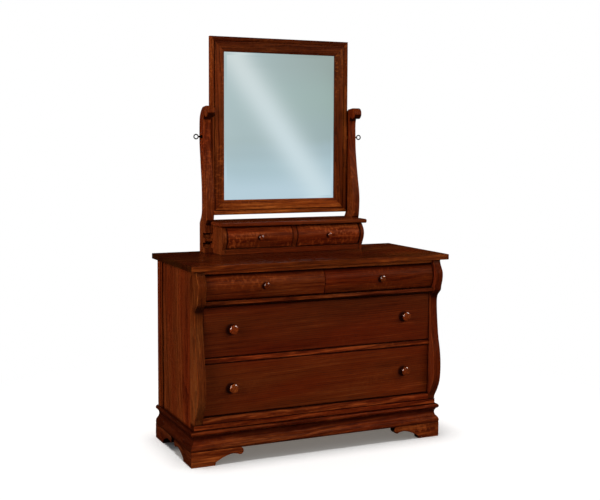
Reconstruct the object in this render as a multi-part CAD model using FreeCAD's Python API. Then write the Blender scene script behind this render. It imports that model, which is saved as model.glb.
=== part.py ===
import FreeCAD, Part
import math
import os

from FreeCAD import Vector

# A sleigh-front dresser in stained oak, with a swing mirror on a box of two drawers.
# X runs across the front, Y runs to the back and Z runs up.
# The origin is on the floor, below the middle of the top board.
# Depths are measured forward from the plane of the back, heights up from the floor.

# Top board
top_side_overhang = 30.5
top_front_overhang = 1.0
top_thickness = 25.0
top_edge_radius = 3.0
top_corner_radius = 4.0

# Case; its depth reaches to the hollow of the front posts
case_width = 1184.0
case_depth = 498.0
side_thickness = 20.0
back_stile_width = 38.0
back_stile_thickness = 30.0
back_stile_step = 5.0
back_panel_thickness = 6.0
back_panel_inset = 8.0

# Front posts, whose front edge is an S curve
post_width = 38.0
post_least_depth = 46.0
post_swell = 61.0
post_edge_radius = 2.5

# Stack of rails and drawer openings, from the base up
sill_height = 25.0
lower_rail_height = 31.0
lower_drawer_opening = 229.0
middle_rail_height = 23.0
upper_drawer_opening = 219.0
upper_rail_height = 27.0
small_drawer_opening = 113.0
top_rail_height = 16.0

# How far the rails stand in front of the case depth
sill_step = 2.0
lower_rail_step = 5.0
middle_rail_step = 8.0
upper_rail_root_step = 6.0
upper_rail_nose = 34.0
upper_rail_nose_height = 15.0
top_rail_step = 27.0
top_rail_width = 40.0
rail_edge_radius = 1.5

# Inside the case
dust_board_thickness = 12.0
guide_step = 2.0
guide_height = 30.0
partition_thickness = 18.0
partition_face_gap = 2.0

# Drawers of the chest
drawer_gap = 2.0
drawer_seam = 3.0
drawer_face_thickness = 20.0
drawer_face_edge_radius = 2.0
wide_drawer_step = 6.0
lower_drawer_lean = 8.0
small_drawer_step = 2.0
small_drawer_thickness = 18.0
small_drawer_swell = 23.0
drawer_wall = 12.0
drawer_box_back_depth = 40.0
drawer_box_top_drop = 24.0
drawer_side_play = 1.5
drawer_seat_gap = 0.3
drawer_bottom_thickness = 6.0
drawer_bottom_rise = 10.0
drawer_bottom_groove = 5.0

# Turned knobs
large_knob_diameter = 40.0
large_knob_reach = 30.0
large_knob_spread = 421.0
upper_knob_rise = 9.0
lower_knob_rise = 3.0
small_knob_diameter = 28.0
small_knob_reach = 18.5
small_knob_spread = 281.0
tiny_knob_diameter = 21.0
tiny_knob_reach = 15.0
knob_seat_depth = 1.0
knob_seat_play = 0.3

# Base moulding
base_side_step = 17.0
base_front_step = 14.0
moulding_thickness = 36.0
moulding_top_inset = 14.0
bead_height = 20.0
bead_root_inset = 8.0
cove_height = 34.0
cove_inset = 16.0
ogee_height = 26.0
ogee_inset = 12.0
fillet_height = 7.0
fillet_inset = 1.5
base_back_rail_thickness = 20.0

# Bracket feet
foot_height = 66.0
foot_thickness = 38.0
foot_pad = 108.0
foot_reach = 130.0
foot_heel_run = 3.0
foot_heel_rise = 13.0
foot_cove_setback = 55.0
foot_cove_rise = 42.0
foot_cove_bulge = 3.0
foot_lobe_radius = 15.5
side_foot_gap = 36.0
foot_block = 45.0

# Box under the mirror
box_width = 715.0
box_back_depth = 6.0
box_wall = 20.0
box_floor_height = 25.0
box_inside_height = 102.0
box_root_depth = 203.0
box_swell = 24.0
box_back_thickness = 10.0
box_divider_thickness = 20.0
box_divider_recess = 4.0
shelf_thickness = 19.0
shelf_ear = 15.5
shelf_overhang = 2.0
shelf_edge_radius = 7.0
shelf_corner_radius = 9.0

# Drawers of the box
box_drawer_gap = 1.5
box_drawer_recess = 4.0
box_drawer_face_thickness = 16.0
box_tray_wall = 9.0
box_tray_floor = 6.0
box_tray_top_drop = 14.0
box_tray_back_gap = 10.0

# Harp posts that carry the mirror
harp_thickness = 36.5
harp_reach = 109.0
harp_plinth_height = 21.0
harp_notch_height = 24.0
harp_notch_cut = 37.0
harp_tongue_height = 21.0
harp_tongue_inset = 3.0
harp_upper_height = 548.0
harp_head_radius = 26.0
harp_edge_radius = 2.0

# Mirror
mirror_side_gap = 2.5
mirror_height = 826.0
mirror_bottom_gap = 24.0
frame_member_width = 69.0
frame_back_depth = 28.0
frame_thickness = 20.0
frame_bead_width = 20.0
frame_bead_rise = 4.0
frame_bevel_width = 7.0
frame_bevel_drop = 3.0
rabbet_width = 8.0
rabbet_depth = 13.0
glass_thickness = 4.0
glass_gap = 0.3
backing_thickness = 6.0

# Pivots: a threaded socket in each side of the frame, and a thumb screw through each harp post
pivot_rise = 364.0
pivot_inset = 11.0
screw_radius = 4.0
screw_play = 0.05
screw_grip = 16.0
socket_radius = 7.0
socket_length = 20.0
socket_flange_radius = 10.0
socket_flange_play = 0.3
collar_radius = 9.0
collar_thickness = 3.0
collar_play = 0.3
neck_radius = 3.8
neck_length = 13.4
ring_radius = 10.5
ring_wire_radius = 2.4

# Stray length allowed when an edge is picked by where it lies
match_length = 0.05

# Front of a harp post above the underside of the shelf: share of the height, share of the reach
HARP_FRONT_SHARES = [
    (0.0, 0.80),
    (0.031, 0.915),
    (0.077, 0.968),
    (0.135, 0.99),
    (0.201, 1.0),
    (0.277, 0.955),
    (0.325, 0.90),
    (0.431, 0.78),
    (0.538, 0.68),
    (0.648, 0.595),
    (0.765, 0.569),
    (0.854, 0.563),
    (0.900, 0.61),
]

# Back of a harp post, measured the same way
HARP_BACK_SHARES = [
    (0.012, 0.05),
    (0.035, 0.13),
    (0.070, 0.26),
    (0.115, 0.335),
    (0.208, 0.345),
    (0.296, 0.33),
    (0.387, 0.284),
    (0.478, 0.211),
    (0.569, 0.147),
    (0.639, 0.085),
    (0.708, 0.052),
    (0.800, 0.052),
    (0.883, 0.073),
    (0.916, 0.118),
    (0.958, 0.250),
    (0.991, 0.459),
]
shelf_notch_share = 0.958
head_inset_share = 0.5

# Turns on the head of a harp post, in degrees from straight forward
HARP_HEAD_UNDER = 217
HARP_HEAD_FRONT = 340
HARP_HEAD_TOP = 100

# The S curve of a front post below the upper rail: share of the height, share of the swell
POST_LOWER_SHARES = [
    (0.0, 0.0),
    (0.034, 0.07),
    (0.094, 0.41),
    (0.183, 0.74),
    (0.283, 0.85),
    (0.392, 0.83),
    (0.482, 0.72),
    (0.602, 0.48),
    (0.761, 0.30),
    (0.900, 0.21),
    (0.960, 0.26),
    (0.990, 0.40),
]

# The S curve beside and above the upper rail, measured the same way
POST_UPPER_SHARES = [
    (0.040, 0.62),
    (0.109, 0.76),
    (0.224, 0.82),
    (0.353, 0.93),
    (0.481, 1.0),
    (0.622, 0.99),
    (0.724, 0.88),
    (0.865, 0.66),
    (1.0, 0.57),
]

# Swelling front of the small drawers: share of the height, share of the swell
PILLOW_SHARES = [
    (0.0, 0.26),
    (0.14, 0.60),
    (0.32, 0.90),
    (0.50, 1.0),
    (0.68, 0.90),
    (0.84, 0.55),
    (1.0, 0.0),
]

# Swelling front of the mirror box: share of the inside height, share of the swell
BOX_FRONT_SHARES = [
    (0.0, 0.12),
    (0.17, 0.50),
    (0.34, 0.86),
    (0.52, 1.0),
    (0.70, 0.86),
    (0.86, 0.42),
    (1.0, -0.12),
]

# Half section of a knob: share of the reach, share of the radius
KNOB_SHARES = [
    (0.0, 0.60),
    (0.10, 0.56),
    (0.26, 0.40),
    (0.42, 0.46),
    (0.58, 0.86),
    (0.74, 1.0),
    (0.88, 0.92),
]
lean_middle_share = 0.25
knob_face_share = 0.68

# Where the deepest point of the cove and the fullest point of the ogee lie in their heights
cove_middle_share = 0.62
ogee_middle_share = 0.40
ogee_crown_share = 0.26

# Turns on the lobe of a bracket foot, in degrees from straight along its length
LOBE_JOIN_TURN = 228
LOBE_TIP_TURN = 330

# Sizes that follow
sill_front_depth = case_depth + sill_step
lower_rail_front_depth = case_depth + lower_rail_step
middle_rail_front_depth = case_depth + middle_rail_step
upper_rail_root_depth = case_depth + upper_rail_root_step
upper_rail_front_depth = upper_rail_root_depth + upper_rail_nose
top_rail_front_depth = case_depth + top_rail_step
post_back_depth = case_depth - post_least_depth
wide_drawer_front_depth = case_depth + wide_drawer_step
small_drawer_back_depth = case_depth + small_drawer_step
small_drawer_front_depth = small_drawer_back_depth + small_drawer_thickness
base_front_depth = case_depth + base_front_step
foot_length = foot_pad + foot_reach
rear_foot_pad = base_front_depth - foot_length - side_foot_gap - foot_reach
top_depth = case_depth + post_swell + top_front_overhang
back_y = top_depth / 2
base_height = foot_height + fillet_height + ogee_height + cove_height + bead_height
sill_top = base_height + sill_height
lower_rail_top = sill_top + lower_rail_height
middle_rail_bottom = lower_rail_top + lower_drawer_opening
middle_rail_top = middle_rail_bottom + middle_rail_height
upper_rail_bottom = middle_rail_top + upper_drawer_opening
upper_rail_top = upper_rail_bottom + upper_rail_height
top_rail_bottom = upper_rail_top + small_drawer_opening
case_top = top_rail_bottom + top_rail_height
chest_height = case_top + top_thickness
side_outer = case_width / 2
top_half = side_outer + top_side_overhang
side_inner = side_outer - side_thickness
stile_outer = side_outer + back_stile_step
stile_inner = stile_outer - back_stile_thickness
back_panel_front = back_panel_inset + back_panel_thickness
post_inner = side_outer - post_width
drawer_half_width = post_inner - drawer_gap
guide_inner = post_inner - guide_step
drawer_box_half = guide_inner - drawer_side_play
base_half = side_outer + base_side_step
box_half = box_width / 2
box_inner = box_half - box_wall
box_floor_top = chest_height + box_floor_height
shelf_bottom = box_floor_top + box_inside_height
shelf_top = shelf_bottom + shelf_thickness
shelf_half = box_half + shelf_ear
shelf_front_depth = box_root_depth + box_swell + shelf_overhang
box_back_front = box_back_depth + box_back_thickness
harp_outer = box_half + harp_thickness
harp_plinth_depth = HARP_FRONT_SHARES[0][1] * harp_reach
harp_back_depth = HARP_BACK_SHARES[0][1] * harp_reach
mirror_half = box_half - mirror_side_gap
mirror_bottom = shelf_top + mirror_bottom_gap
mirror_top = mirror_bottom + mirror_height
frame_field_depth = frame_back_depth + frame_thickness
lip_depth = frame_back_depth + rabbet_depth
pivot_height = mirror_bottom + pivot_rise
pivot_depth = frame_back_depth + pivot_inset


def at(x, depth, height):
    """The point at a depth in front of the plane of the back."""
    return Vector(x, back_y - depth, height)


def box(x0, x1, depth0, depth1, z0, z1):
    """A board from depth0 forward to depth1."""
    return Part.makeBox(x1 - x0, depth1 - depth0, z1 - z0, at(x0, depth1, z0))


def line(a, b):
    return Part.LineSegment(a, b).toShape()


def arc(a, middle, b):
    return Part.Arc(a, middle, b).toShape()


def curve(points):
    spline = Part.BSplineCurve()
    spline.interpolate(points)
    return spline.toShape()


def pushed(edges, along):
    """The solid that a closed outline sweeps along a vector."""
    return Part.Face(Part.Wire(edges)).extrude(along)


def prism(points, along):
    ends = points[1:] + points[:1]
    return pushed([line(a, b) for a, b in zip(points, ends)], along)


def turned(edges, centre, axis):
    return Part.Face(Part.Wire(edges)).revolve(centre, axis, 360)


def group(solids):
    return Part.makeCompound(solids)


def mirrored(shape):
    """The same piece on the other side of the middle."""
    return shape.mirror(Vector(0, 0, 0), Vector(1, 0, 0))


def close(a, b):
    return abs(a - b) < match_length


def on_depth(edge, depth):
    """Whether the whole edge lies at one depth."""
    plane = back_y - depth
    return close(edge.BoundBox.YMin, plane) and close(edge.BoundBox.YMax, plane)


def on_side(edge, x):
    """Whether the whole edge lies on one plane across X."""
    return close(edge.BoundBox.XMin, x) and close(edge.BoundBox.XMax, x)


def is_level(edge):
    return close(edge.BoundBox.ZMin, edge.BoundBox.ZMax)


def rounded(shape, radius, wanted):
    """The shape with the edges that wanted() picks rounded."""
    return shape.makeFillet(radius, [edge for edge in shape.Edges if wanted(edge)])


def save(name, shape):
    shape.exportStep("parts/" + name + ".step")


def save_pair(name, left_shape):
    """Saves the left piece and its mirrored right one."""
    save(name + "_left", left_shape)
    save(name + "_right", mirrored(left_shape))


def top_board():
    board = box(-top_half, top_half, 0, top_depth, case_top, chest_height)
    board = rounded(board, top_corner_radius, lambda edge: on_depth(edge, top_depth) and not is_level(edge))
    return rounded(board, top_edge_radius, lambda edge: is_level(edge) and not on_depth(edge, 0))


def side_panel():
    """The left side of the case, between the back stile and the front post."""
    return box(-side_outer, -side_inner, back_stile_width, post_back_depth, base_height, case_top)


def back_stiles():
    stile = box(-stile_outer, -stile_inner, 0, back_stile_width, base_height, case_top)
    stile = rounded(
        stile, rail_edge_radius, lambda edge: on_side(edge, -stile_outer) and not is_level(edge)
    )
    return group([stile, mirrored(stile)])


def back_panel():
    return box(-stile_inner, stile_inner, back_panel_inset, back_panel_front, base_height, case_top)


def s_curve_points(x):
    """The points up the front edge of a post."""
    points = []
    for shares, low, high in (
        (POST_LOWER_SHARES, sill_top, upper_rail_bottom),
        (POST_UPPER_SHARES, upper_rail_bottom, case_top),
    ):
        for height_share, swell_share in shares:
            height = low + height_share * (high - low)
            points.append(at(x, case_depth + swell_share * post_swell, height))
    return points


def front_post():
    """The left post: an S-curved front edge on a straight back."""
    x = -side_outer
    points = s_curve_points(x)
    foot = at(x, post_back_depth, sill_top)
    head = at(x, post_back_depth, case_top)
    edges = [line(foot, points[0]), curve(points), line(points[-1], head), line(head, foot)]
    post = pushed(edges, Vector(post_width, 0, 0))

    def along_front(edge):
        upright = edge.BoundBox.ZLength > case_top - sill_top - match_length
        on_face = on_side(edge, -side_outer) or on_side(edge, -post_inner)
        return upright and on_face and not on_depth(edge, post_back_depth)

    return rounded(post, post_edge_radius, along_front)


def rail(half_width, bottom, top, front_depth):
    """A straight rail between the plane behind the posts and its own face."""
    board = box(-half_width, half_width, post_back_depth, front_depth, bottom, top)
    return rounded(board, rail_edge_radius, lambda edge: on_depth(edge, front_depth) and is_level(edge))


def upper_rail():
    """The rail below the small drawers, with a round shoulder underneath."""
    x = -post_inner
    shoulder_height = upper_rail_top - upper_rail_nose_height
    corner = at(x, upper_rail_front_depth, upper_rail_top)
    shoulder = at(x, upper_rail_front_depth, shoulder_height)
    quarter = math.sqrt(0.5)
    middle = at(
        x,
        upper_rail_root_depth + quarter * (upper_rail_front_depth - upper_rail_root_depth),
        shoulder_height - (1 - quarter) * (shoulder_height - upper_rail_bottom),
    )
    root = at(x, upper_rail_root_depth, upper_rail_bottom)
    back_bottom = at(x, post_back_depth, upper_rail_bottom)
    back_top = at(x, post_back_depth, upper_rail_top)
    edges = [
        line(back_top, corner),
        line(corner, shoulder),
        curve([shoulder, middle, root]),
        line(root, back_bottom),
        line(back_bottom, back_top),
    ]
    return pushed(edges, Vector(2 * post_inner, 0, 0))


def top_rail():
    back = top_rail_front_depth - top_rail_width
    return box(-post_inner, post_inner, back, top_rail_front_depth, top_rail_bottom, case_top)


def partition():
    """The upright board between the small drawers."""
    half = partition_thickness / 2
    front = small_drawer_back_depth - partition_face_gap
    board = box(-half, half, back_panel_front, front, upper_rail_top, case_top)
    return board.cut(top_rail())


def dust_boards():
    """The level boards behind the rails, on which the drawers run."""
    boards = []
    for top in (lower_rail_top, middle_rail_top, upper_rail_top):
        low = top - dust_board_thickness
        boards.append(box(-side_inner, side_inner, back_stile_width, post_back_depth, low, top))
    return group(boards)


def drawer_guides():
    """Strips on both sides of each dust board."""
    strips = []
    for top in (lower_rail_top, middle_rail_top, upper_rail_top):
        high = top + guide_height
        strip = box(-side_inner, -guide_inner, back_stile_width, post_back_depth, top, high)
        strips += [strip, mirrored(strip)]
    return group(strips)


def knob_edges(x, seat, height, diameter, reach):
    """The half outline of a knob, from its seat out to its face."""
    radius = diameter / 2
    length = reach + knob_seat_depth
    points = [at(x + r * radius, seat + d * length, height) for d, r in KNOB_SHARES]
    centre = at(x, seat, height)
    tip = at(x, seat + length, height)
    rim = at(x + knob_face_share * radius, seat + length, height)
    return [
        line(centre, points[0]),
        curve(points),
        line(points[-1], rim),
        line(rim, tip),
        line(tip, centre),
    ]


def knob_on(face, x, front, height, diameter, reach):
    """The face with a shallow round seat, and the knob that stands in it."""
    seat = front - knob_seat_depth
    seat_radius = KNOB_SHARES[0][1] * diameter / 2 + knob_seat_play
    hole = Part.makeCylinder(seat_radius, reach, at(x, seat, height), Vector(0, -1, 0))
    edges = knob_edges(x, seat, height, diameter, reach)
    return face.cut(hole), turned(edges, at(x, seat, height), Vector(0, 1, 0))


def flat_face(bottom, opening, front_depth):
    """A flat drawer face that fills the opening between the posts."""
    face = box(
        -drawer_half_width,
        drawer_half_width,
        front_depth - drawer_face_thickness,
        front_depth,
        bottom + drawer_gap,
        bottom + opening - drawer_gap,
    )
    return rounded(face, drawer_face_edge_radius, lambda edge: on_depth(edge, front_depth))


def leaning_face(bottom, opening, front_depth, lean):
    """A drawer face whose front falls back towards its lower edge in a slight curve."""
    x = -drawer_half_width
    low = bottom + drawer_gap
    high = bottom + opening - drawer_gap
    back = front_depth - drawer_face_thickness
    front_top = at(x, front_depth, high)
    front_middle = at(x, front_depth - lean_middle_share * lean, (low + high) / 2)
    front_low = at(x, front_depth - lean, low)
    edges = [
        line(at(x, back, low), at(x, back, high)),
        line(at(x, back, high), front_top),
        arc(front_top, front_middle, front_low),
        line(front_low, at(x, back, low)),
    ]
    return pushed(edges, Vector(2 * drawer_half_width, 0, 0))


def swelling_face(x0, x1, back, points):
    """A face with a flat back and a front that follows the points."""
    low = at(x0, back, points[0].z)
    high = at(x0, back, points[-1].z)
    edges = [line(low, points[0]), curve(points), line(points[-1], high), line(high, low)]
    return pushed(edges, Vector(x1 - x0, 0, 0))


def drawer_box(x0, x1, bottom, opening, face_back):
    """The three walls behind a drawer face, and the bottom panel in their grooves."""
    low = bottom + drawer_seat_gap
    high = bottom + opening - drawer_box_top_drop
    inner_back = drawer_box_back_depth + drawer_wall
    walls = box(x0, x1, drawer_box_back_depth, face_back, low, high)
    inside = box(x0 + drawer_wall, x1 - drawer_wall, inner_back, face_back, low, high)
    panel_low = low + drawer_bottom_rise
    panel_high = panel_low + drawer_bottom_thickness
    panel_x0 = x0 + drawer_wall - drawer_bottom_groove
    panel_x1 = x1 - drawer_wall + drawer_bottom_groove
    panel_back = inner_back - drawer_bottom_groove
    panel = box(panel_x0, panel_x1, panel_back, face_back, panel_low, panel_high)
    return walls.cut(inside).cut(panel), panel


def wide_drawer(name, face, bottom, opening, front, knob_rise):
    """A full-width drawer with two knobs, whose face stands at a depth at the knobs."""
    face_back = wide_drawer_front_depth - drawer_face_thickness
    walls, panel = drawer_box(-drawer_box_half, drawer_box_half, bottom, opening, face_back)
    height = bottom + opening / 2 + knob_rise
    knobs = []
    for x in (-large_knob_spread, large_knob_spread):
        face, knob = knob_on(face, x, front, height, large_knob_diameter, large_knob_reach)
        knobs.append(knob)
    save(name + "_face", face)
    save(name + "_walls", walls)
    save(name + "_bottom", panel)
    save(name + "_knobs", group(knobs))


def small_drawers():
    """The two drawers below the top."""
    low = upper_rail_top + drawer_gap
    high = top_rail_bottom - drawer_gap
    x0 = -drawer_half_width
    x1 = -drawer_seam / 2
    points = []
    for height_share, swell_share in PILLOW_SHARES:
        depth = small_drawer_front_depth + swell_share * small_drawer_swell
        points.append(at(x0, depth, low + height_share * (high - low)))
    face = swelling_face(x0, x1, small_drawer_back_depth, points)
    front = small_drawer_front_depth + small_drawer_swell
    height = (low + high) / 2
    face, knob = knob_on(face, -small_knob_spread, front, height, small_knob_diameter, small_knob_reach)
    inner_side = -partition_thickness / 2 - drawer_side_play
    walls, panel = drawer_box(
        -drawer_box_half, inner_side, upper_rail_top, small_drawer_opening, small_drawer_back_depth
    )
    save_pair("small_drawer_face", face)
    save_pair("small_drawer_walls", walls)
    save_pair("small_drawer_bottom", panel)
    save_pair("small_drawer_knob", knob)


def moulding_edges(place):
    """The section of the base moulding; place(inset, height) gives each point."""
    bead_low = base_height - bead_height
    cove_low = bead_low - cove_height
    ogee_low = cove_low - ogee_height
    top_inner = place(moulding_thickness, base_height)
    top_outer = place(moulding_top_inset, base_height)
    bead_start = place(bead_root_inset, base_height)
    bead_crown = place(0, base_height - bead_height / 2)
    bead_end = place(bead_root_inset, bead_low)
    cove_middle = place(cove_inset, bead_low - cove_middle_share * cove_height)
    cove_end = place(ogee_inset, cove_low)
    ogee_middle = place(ogee_crown_share * ogee_inset, cove_low - ogee_middle_share * ogee_height)
    ogee_end = place(0, ogee_low)
    fillet_top = place(fillet_inset, ogee_low)
    fillet_low = place(fillet_inset, foot_height)
    bottom_inner = place(moulding_thickness, foot_height)
    return [
        line(top_inner, top_outer),
        line(top_outer, bead_start),
        arc(bead_start, bead_crown, bead_end),
        arc(bead_end, cove_middle, cove_end),
        arc(cove_end, ogee_middle, ogee_end),
        line(ogee_end, fillet_top),
        line(fillet_top, fillet_low),
        line(fillet_low, bottom_inner),
        line(bottom_inner, top_inner),
    ]


def front_wedge(thickness, low, high):
    """The space of a front piece of the base, mitred at both corners."""
    inner = base_half - thickness
    corners = [
        at(-base_half, base_front_depth, low),
        at(base_half, base_front_depth, low),
        at(inner, base_front_depth - thickness, low),
        at(-inner, base_front_depth - thickness, low),
    ]
    return prism(corners, Vector(0, 0, high - low))


def side_wedge(thickness, low, high):
    """The space of a left piece of the base, mitred at the front corner."""
    inner = base_half - thickness
    corners = [
        at(-base_half, base_front_depth, low),
        at(-inner, base_front_depth - thickness, low),
        at(-inner, 0, low),
        at(-base_half, 0, low),
    ]
    return prism(corners, Vector(0, 0, high - low))


def base_moulding_front():
    edges = moulding_edges(lambda inset, height: at(-base_half, base_front_depth - inset, height))
    bar = pushed(edges, Vector(2 * base_half, 0, 0))
    return bar.common(front_wedge(moulding_thickness, foot_height, base_height))


def base_moulding_side():
    edges = moulding_edges(lambda inset, height: at(-base_half + inset, 0, height))
    bar = pushed(edges, Vector(0, -base_front_depth, 0))
    return bar.common(side_wedge(moulding_thickness, foot_height, base_height))


def base_back_rail():
    inner = base_half - moulding_thickness
    return box(-inner, inner, 0, base_back_rail_thickness, foot_height, base_height)


def bracket_edges(place, pad):
    """A bracket foot with a cove and a round lobe; place(run, height) counts from the corner."""
    heel_run = pad + foot_heel_run
    cove_run = pad + foot_reach - foot_cove_setback
    lobe_run = pad + foot_reach - foot_lobe_radius
    lobe_height = foot_height - foot_lobe_radius

    def on_lobe(turn):
        angle = math.radians(turn)
        run = lobe_run + foot_lobe_radius * math.cos(angle)
        return place(run, lobe_height + foot_lobe_radius * math.sin(angle))

    heel_top = place(heel_run, foot_heel_rise)
    middle_run = (heel_run + cove_run) / 2 - foot_cove_bulge
    middle_height = (foot_heel_rise + foot_cove_rise) / 2 + foot_cove_bulge
    cove = [heel_top, place(middle_run, middle_height), place(cove_run, foot_cove_rise)]
    cove.append(on_lobe(LOBE_JOIN_TURN))
    lobe_end = place(lobe_run, foot_height)
    return [
        line(place(0, foot_height), place(0, 0)),
        line(place(0, 0), place(pad, 0)),
        line(place(pad, 0), heel_top),
        curve(cove),
        arc(on_lobe(LOBE_JOIN_TURN), on_lobe(LOBE_TIP_TURN), lobe_end),
        line(lobe_end, place(0, foot_height)),
    ]


def foot_front_boards():
    edges = bracket_edges(
        lambda run, height: at(-base_half + run, base_front_depth, height), foot_pad
    )
    board = pushed(edges, Vector(0, foot_thickness, 0))
    board = board.common(front_wedge(foot_thickness, 0, foot_height))
    return group([board, mirrored(board)])


def side_bracket():
    """The left side board of a front foot."""
    edges = bracket_edges(
        lambda run, height: at(-base_half, base_front_depth - run, height), foot_pad
    )
    board = pushed(edges, Vector(foot_thickness, 0, 0))
    return board.common(side_wedge(foot_thickness, 0, foot_height))


def rear_bracket():
    """The left side board of a rear foot, which faces the front one across a gap."""
    edges = bracket_edges(lambda run, height: at(-base_half, run, height), rear_foot_pad)
    return pushed(edges, Vector(foot_thickness, 0, 0))


def foot_side_boards():
    boards = [side_bracket(), rear_bracket()]
    return group(boards + [mirrored(board) for board in boards])


def foot_blocks():
    """Square blocks inside the corners of the base."""
    outer = base_half - foot_thickness
    inner = outer - foot_block
    front = base_front_depth - foot_thickness
    blocks = []
    for depth in (0, front - foot_block):
        block = box(-outer, -inner, depth, depth + foot_block, 0, foot_height)
        blocks += [block, mirrored(block)]
    return group(blocks)


def box_front_points(x, recess, low, high):
    """Points up the swelling front of the mirror box, set back by a recess."""
    points = []
    for height_share, swell_share in BOX_FRONT_SHARES:
        depth = box_root_depth + swell_share * box_swell - recess
        points.append(at(x, depth, low + height_share * (high - low)))
    return points


def box_ends():
    x = -box_half
    points = box_front_points(x, 0, box_floor_top, shelf_bottom)
    foot_front = at(x, box_root_depth, chest_height)
    foot_top = at(x, box_root_depth, box_floor_top)
    back_low = at(x, box_back_depth, chest_height)
    back_high = at(x, box_back_depth, shelf_bottom)
    edges = [
        line(back_low, foot_front),
        line(foot_front, foot_top),
        line(foot_top, points[0]),
        curve(points),
        line(points[-1], back_high),
        line(back_high, back_low),
    ]
    end = pushed(edges, Vector(box_wall, 0, 0))
    return group([end, mirrored(end)])


def box_floor():
    return box(-box_inner, box_inner, box_back_depth, box_root_depth, chest_height, box_floor_top)


def box_back():
    return box(-box_inner, box_inner, box_back_depth, box_back_front, box_floor_top, shelf_bottom)


def box_divider():
    half = box_divider_thickness / 2
    points = box_front_points(-half, box_divider_recess, box_floor_top, shelf_bottom)
    return swelling_face(-half, half, box_back_front, points)


def box_shelf():
    """The board on the box, with ears in front of the harp posts."""
    ear_back = shelf_notch_share * harp_reach
    middle = box(-box_half, box_half, box_back_depth, shelf_front_depth, shelf_bottom, shelf_top)
    ears = box(-shelf_half, shelf_half, ear_back, shelf_front_depth, shelf_bottom, shelf_top)
    board = middle.fuse(ears).removeSplitter()
    board = rounded(
        board, shelf_corner_radius, lambda edge: on_depth(edge, shelf_front_depth) and not is_level(edge)
    )

    def on_nose(edge):
        bounds = edge.BoundBox
        past_harps = bounds.XMin < -box_half - match_length or bounds.XMax > box_half + match_length
        return is_level(edge) and past_harps and not on_depth(edge, ear_back)

    return rounded(board, shelf_edge_radius, on_nose)


def box_drawers():
    """The two drawers of the mirror box."""
    low = box_floor_top + box_drawer_gap
    high = shelf_bottom - box_drawer_gap
    x0 = -box_inner + box_drawer_gap
    x1 = -box_divider_thickness / 2 - box_drawer_gap
    face_back = box_root_depth - box_drawer_face_thickness
    points = box_front_points(x0, box_drawer_recess, low, high)
    face = swelling_face(x0, x1, face_back, points)
    front = box_root_depth + box_swell - box_drawer_recess
    height = (low + high) / 2
    x = (x0 + x1) / 2
    face, knob = knob_on(face, x, front, height, tiny_knob_diameter, tiny_knob_reach)
    tray_low = box_floor_top + drawer_seat_gap
    tray_high = shelf_bottom - box_tray_top_drop
    tray_back = box_back_front + box_tray_back_gap
    tray = box(x0, x1, tray_back, face_back, tray_low, tray_high)
    hollow = box(
        x0 + box_tray_wall,
        x1 - box_tray_wall,
        tray_back + box_tray_wall,
        face_back,
        tray_low + box_tray_floor,
        tray_high,
    )
    save_pair("box_drawer_face", face)
    save_pair("box_drawer_tray", tray.cut(hollow))
    save_pair("box_drawer_knob", knob)


def harp_points(x, shares):
    points = []
    for height_share, reach_share in shares:
        points.append(at(x, reach_share * harp_reach, shelf_bottom + height_share * harp_upper_height))
    return points


def harp_post():
    """The left S-curved post: two notches low down and a rolled head at the top."""
    x = -harp_outer
    top = shelf_bottom + harp_upper_height
    plinth_top = chest_height + harp_plinth_height
    tongue_low = plinth_top + harp_notch_height
    tongue_high = tongue_low + harp_tongue_height
    body_low = tongue_high + harp_notch_height
    notch_radius = harp_notch_height / 2
    tongue_radius = harp_tongue_height / 2
    notch_depth = harp_plinth_depth - harp_notch_cut
    notch_mouth = notch_depth + notch_radius
    tongue_depth = harp_plinth_depth - harp_tongue_inset
    tongue_root = tongue_depth - tongue_radius

    def on_head(turn):
        angle = math.radians(turn)
        centre_depth = harp_reach - head_inset_share * harp_head_radius
        depth = centre_depth + harp_head_radius * math.cos(angle)
        return at(x, depth, top - harp_head_radius + harp_head_radius * math.sin(angle))

    def notch(low, high):
        start = at(x, notch_mouth, low)
        return arc(start, at(x, notch_depth, (low + high) / 2), at(x, notch_mouth, high))

    front = harp_points(x, HARP_FRONT_SHARES)
    back = harp_points(x, HARP_BACK_SHARES)
    foot_back = at(x, harp_back_depth, chest_height)
    foot_front = at(x, harp_plinth_depth, chest_height)
    edges = [
        line(foot_back, foot_front),
        line(foot_front, at(x, harp_plinth_depth, plinth_top)),
        line(at(x, harp_plinth_depth, plinth_top), at(x, notch_mouth, plinth_top)),
        notch(plinth_top, tongue_low),
        line(at(x, notch_mouth, tongue_low), at(x, tongue_root, tongue_low)),
        arc(
            at(x, tongue_root, tongue_low),
            at(x, tongue_depth, tongue_low + tongue_radius),
            at(x, tongue_root, tongue_high),
        ),
        line(at(x, tongue_root, tongue_high), at(x, notch_mouth, tongue_high)),
        notch(tongue_high, body_low),
        line(at(x, notch_mouth, body_low), at(x, harp_plinth_depth, body_low)),
        line(at(x, harp_plinth_depth, body_low), front[0]),
        curve(front + [on_head(HARP_HEAD_UNDER)]),
        arc(on_head(HARP_HEAD_UNDER), on_head(HARP_HEAD_FRONT), on_head(HARP_HEAD_TOP)),
        line(on_head(HARP_HEAD_TOP), back[-1]),
        curve(back),
        line(back[0], foot_back),
    ]
    post = pushed(edges, Vector(harp_thickness, 0, 0))
    sides = (x, x + harp_thickness)

    def above_notches(edge):
        on_face = any(on_side(edge, side) for side in sides)
        return on_face and edge.BoundBox.ZMax > body_low + match_length

    post = rounded(post, harp_edge_radius, above_notches)
    bore_radius = screw_radius + screw_play
    start = at(x, pivot_depth, pivot_height)
    return post.cut(Part.makeCylinder(bore_radius, harp_thickness, start, Vector(1, 0, 0)))


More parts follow.
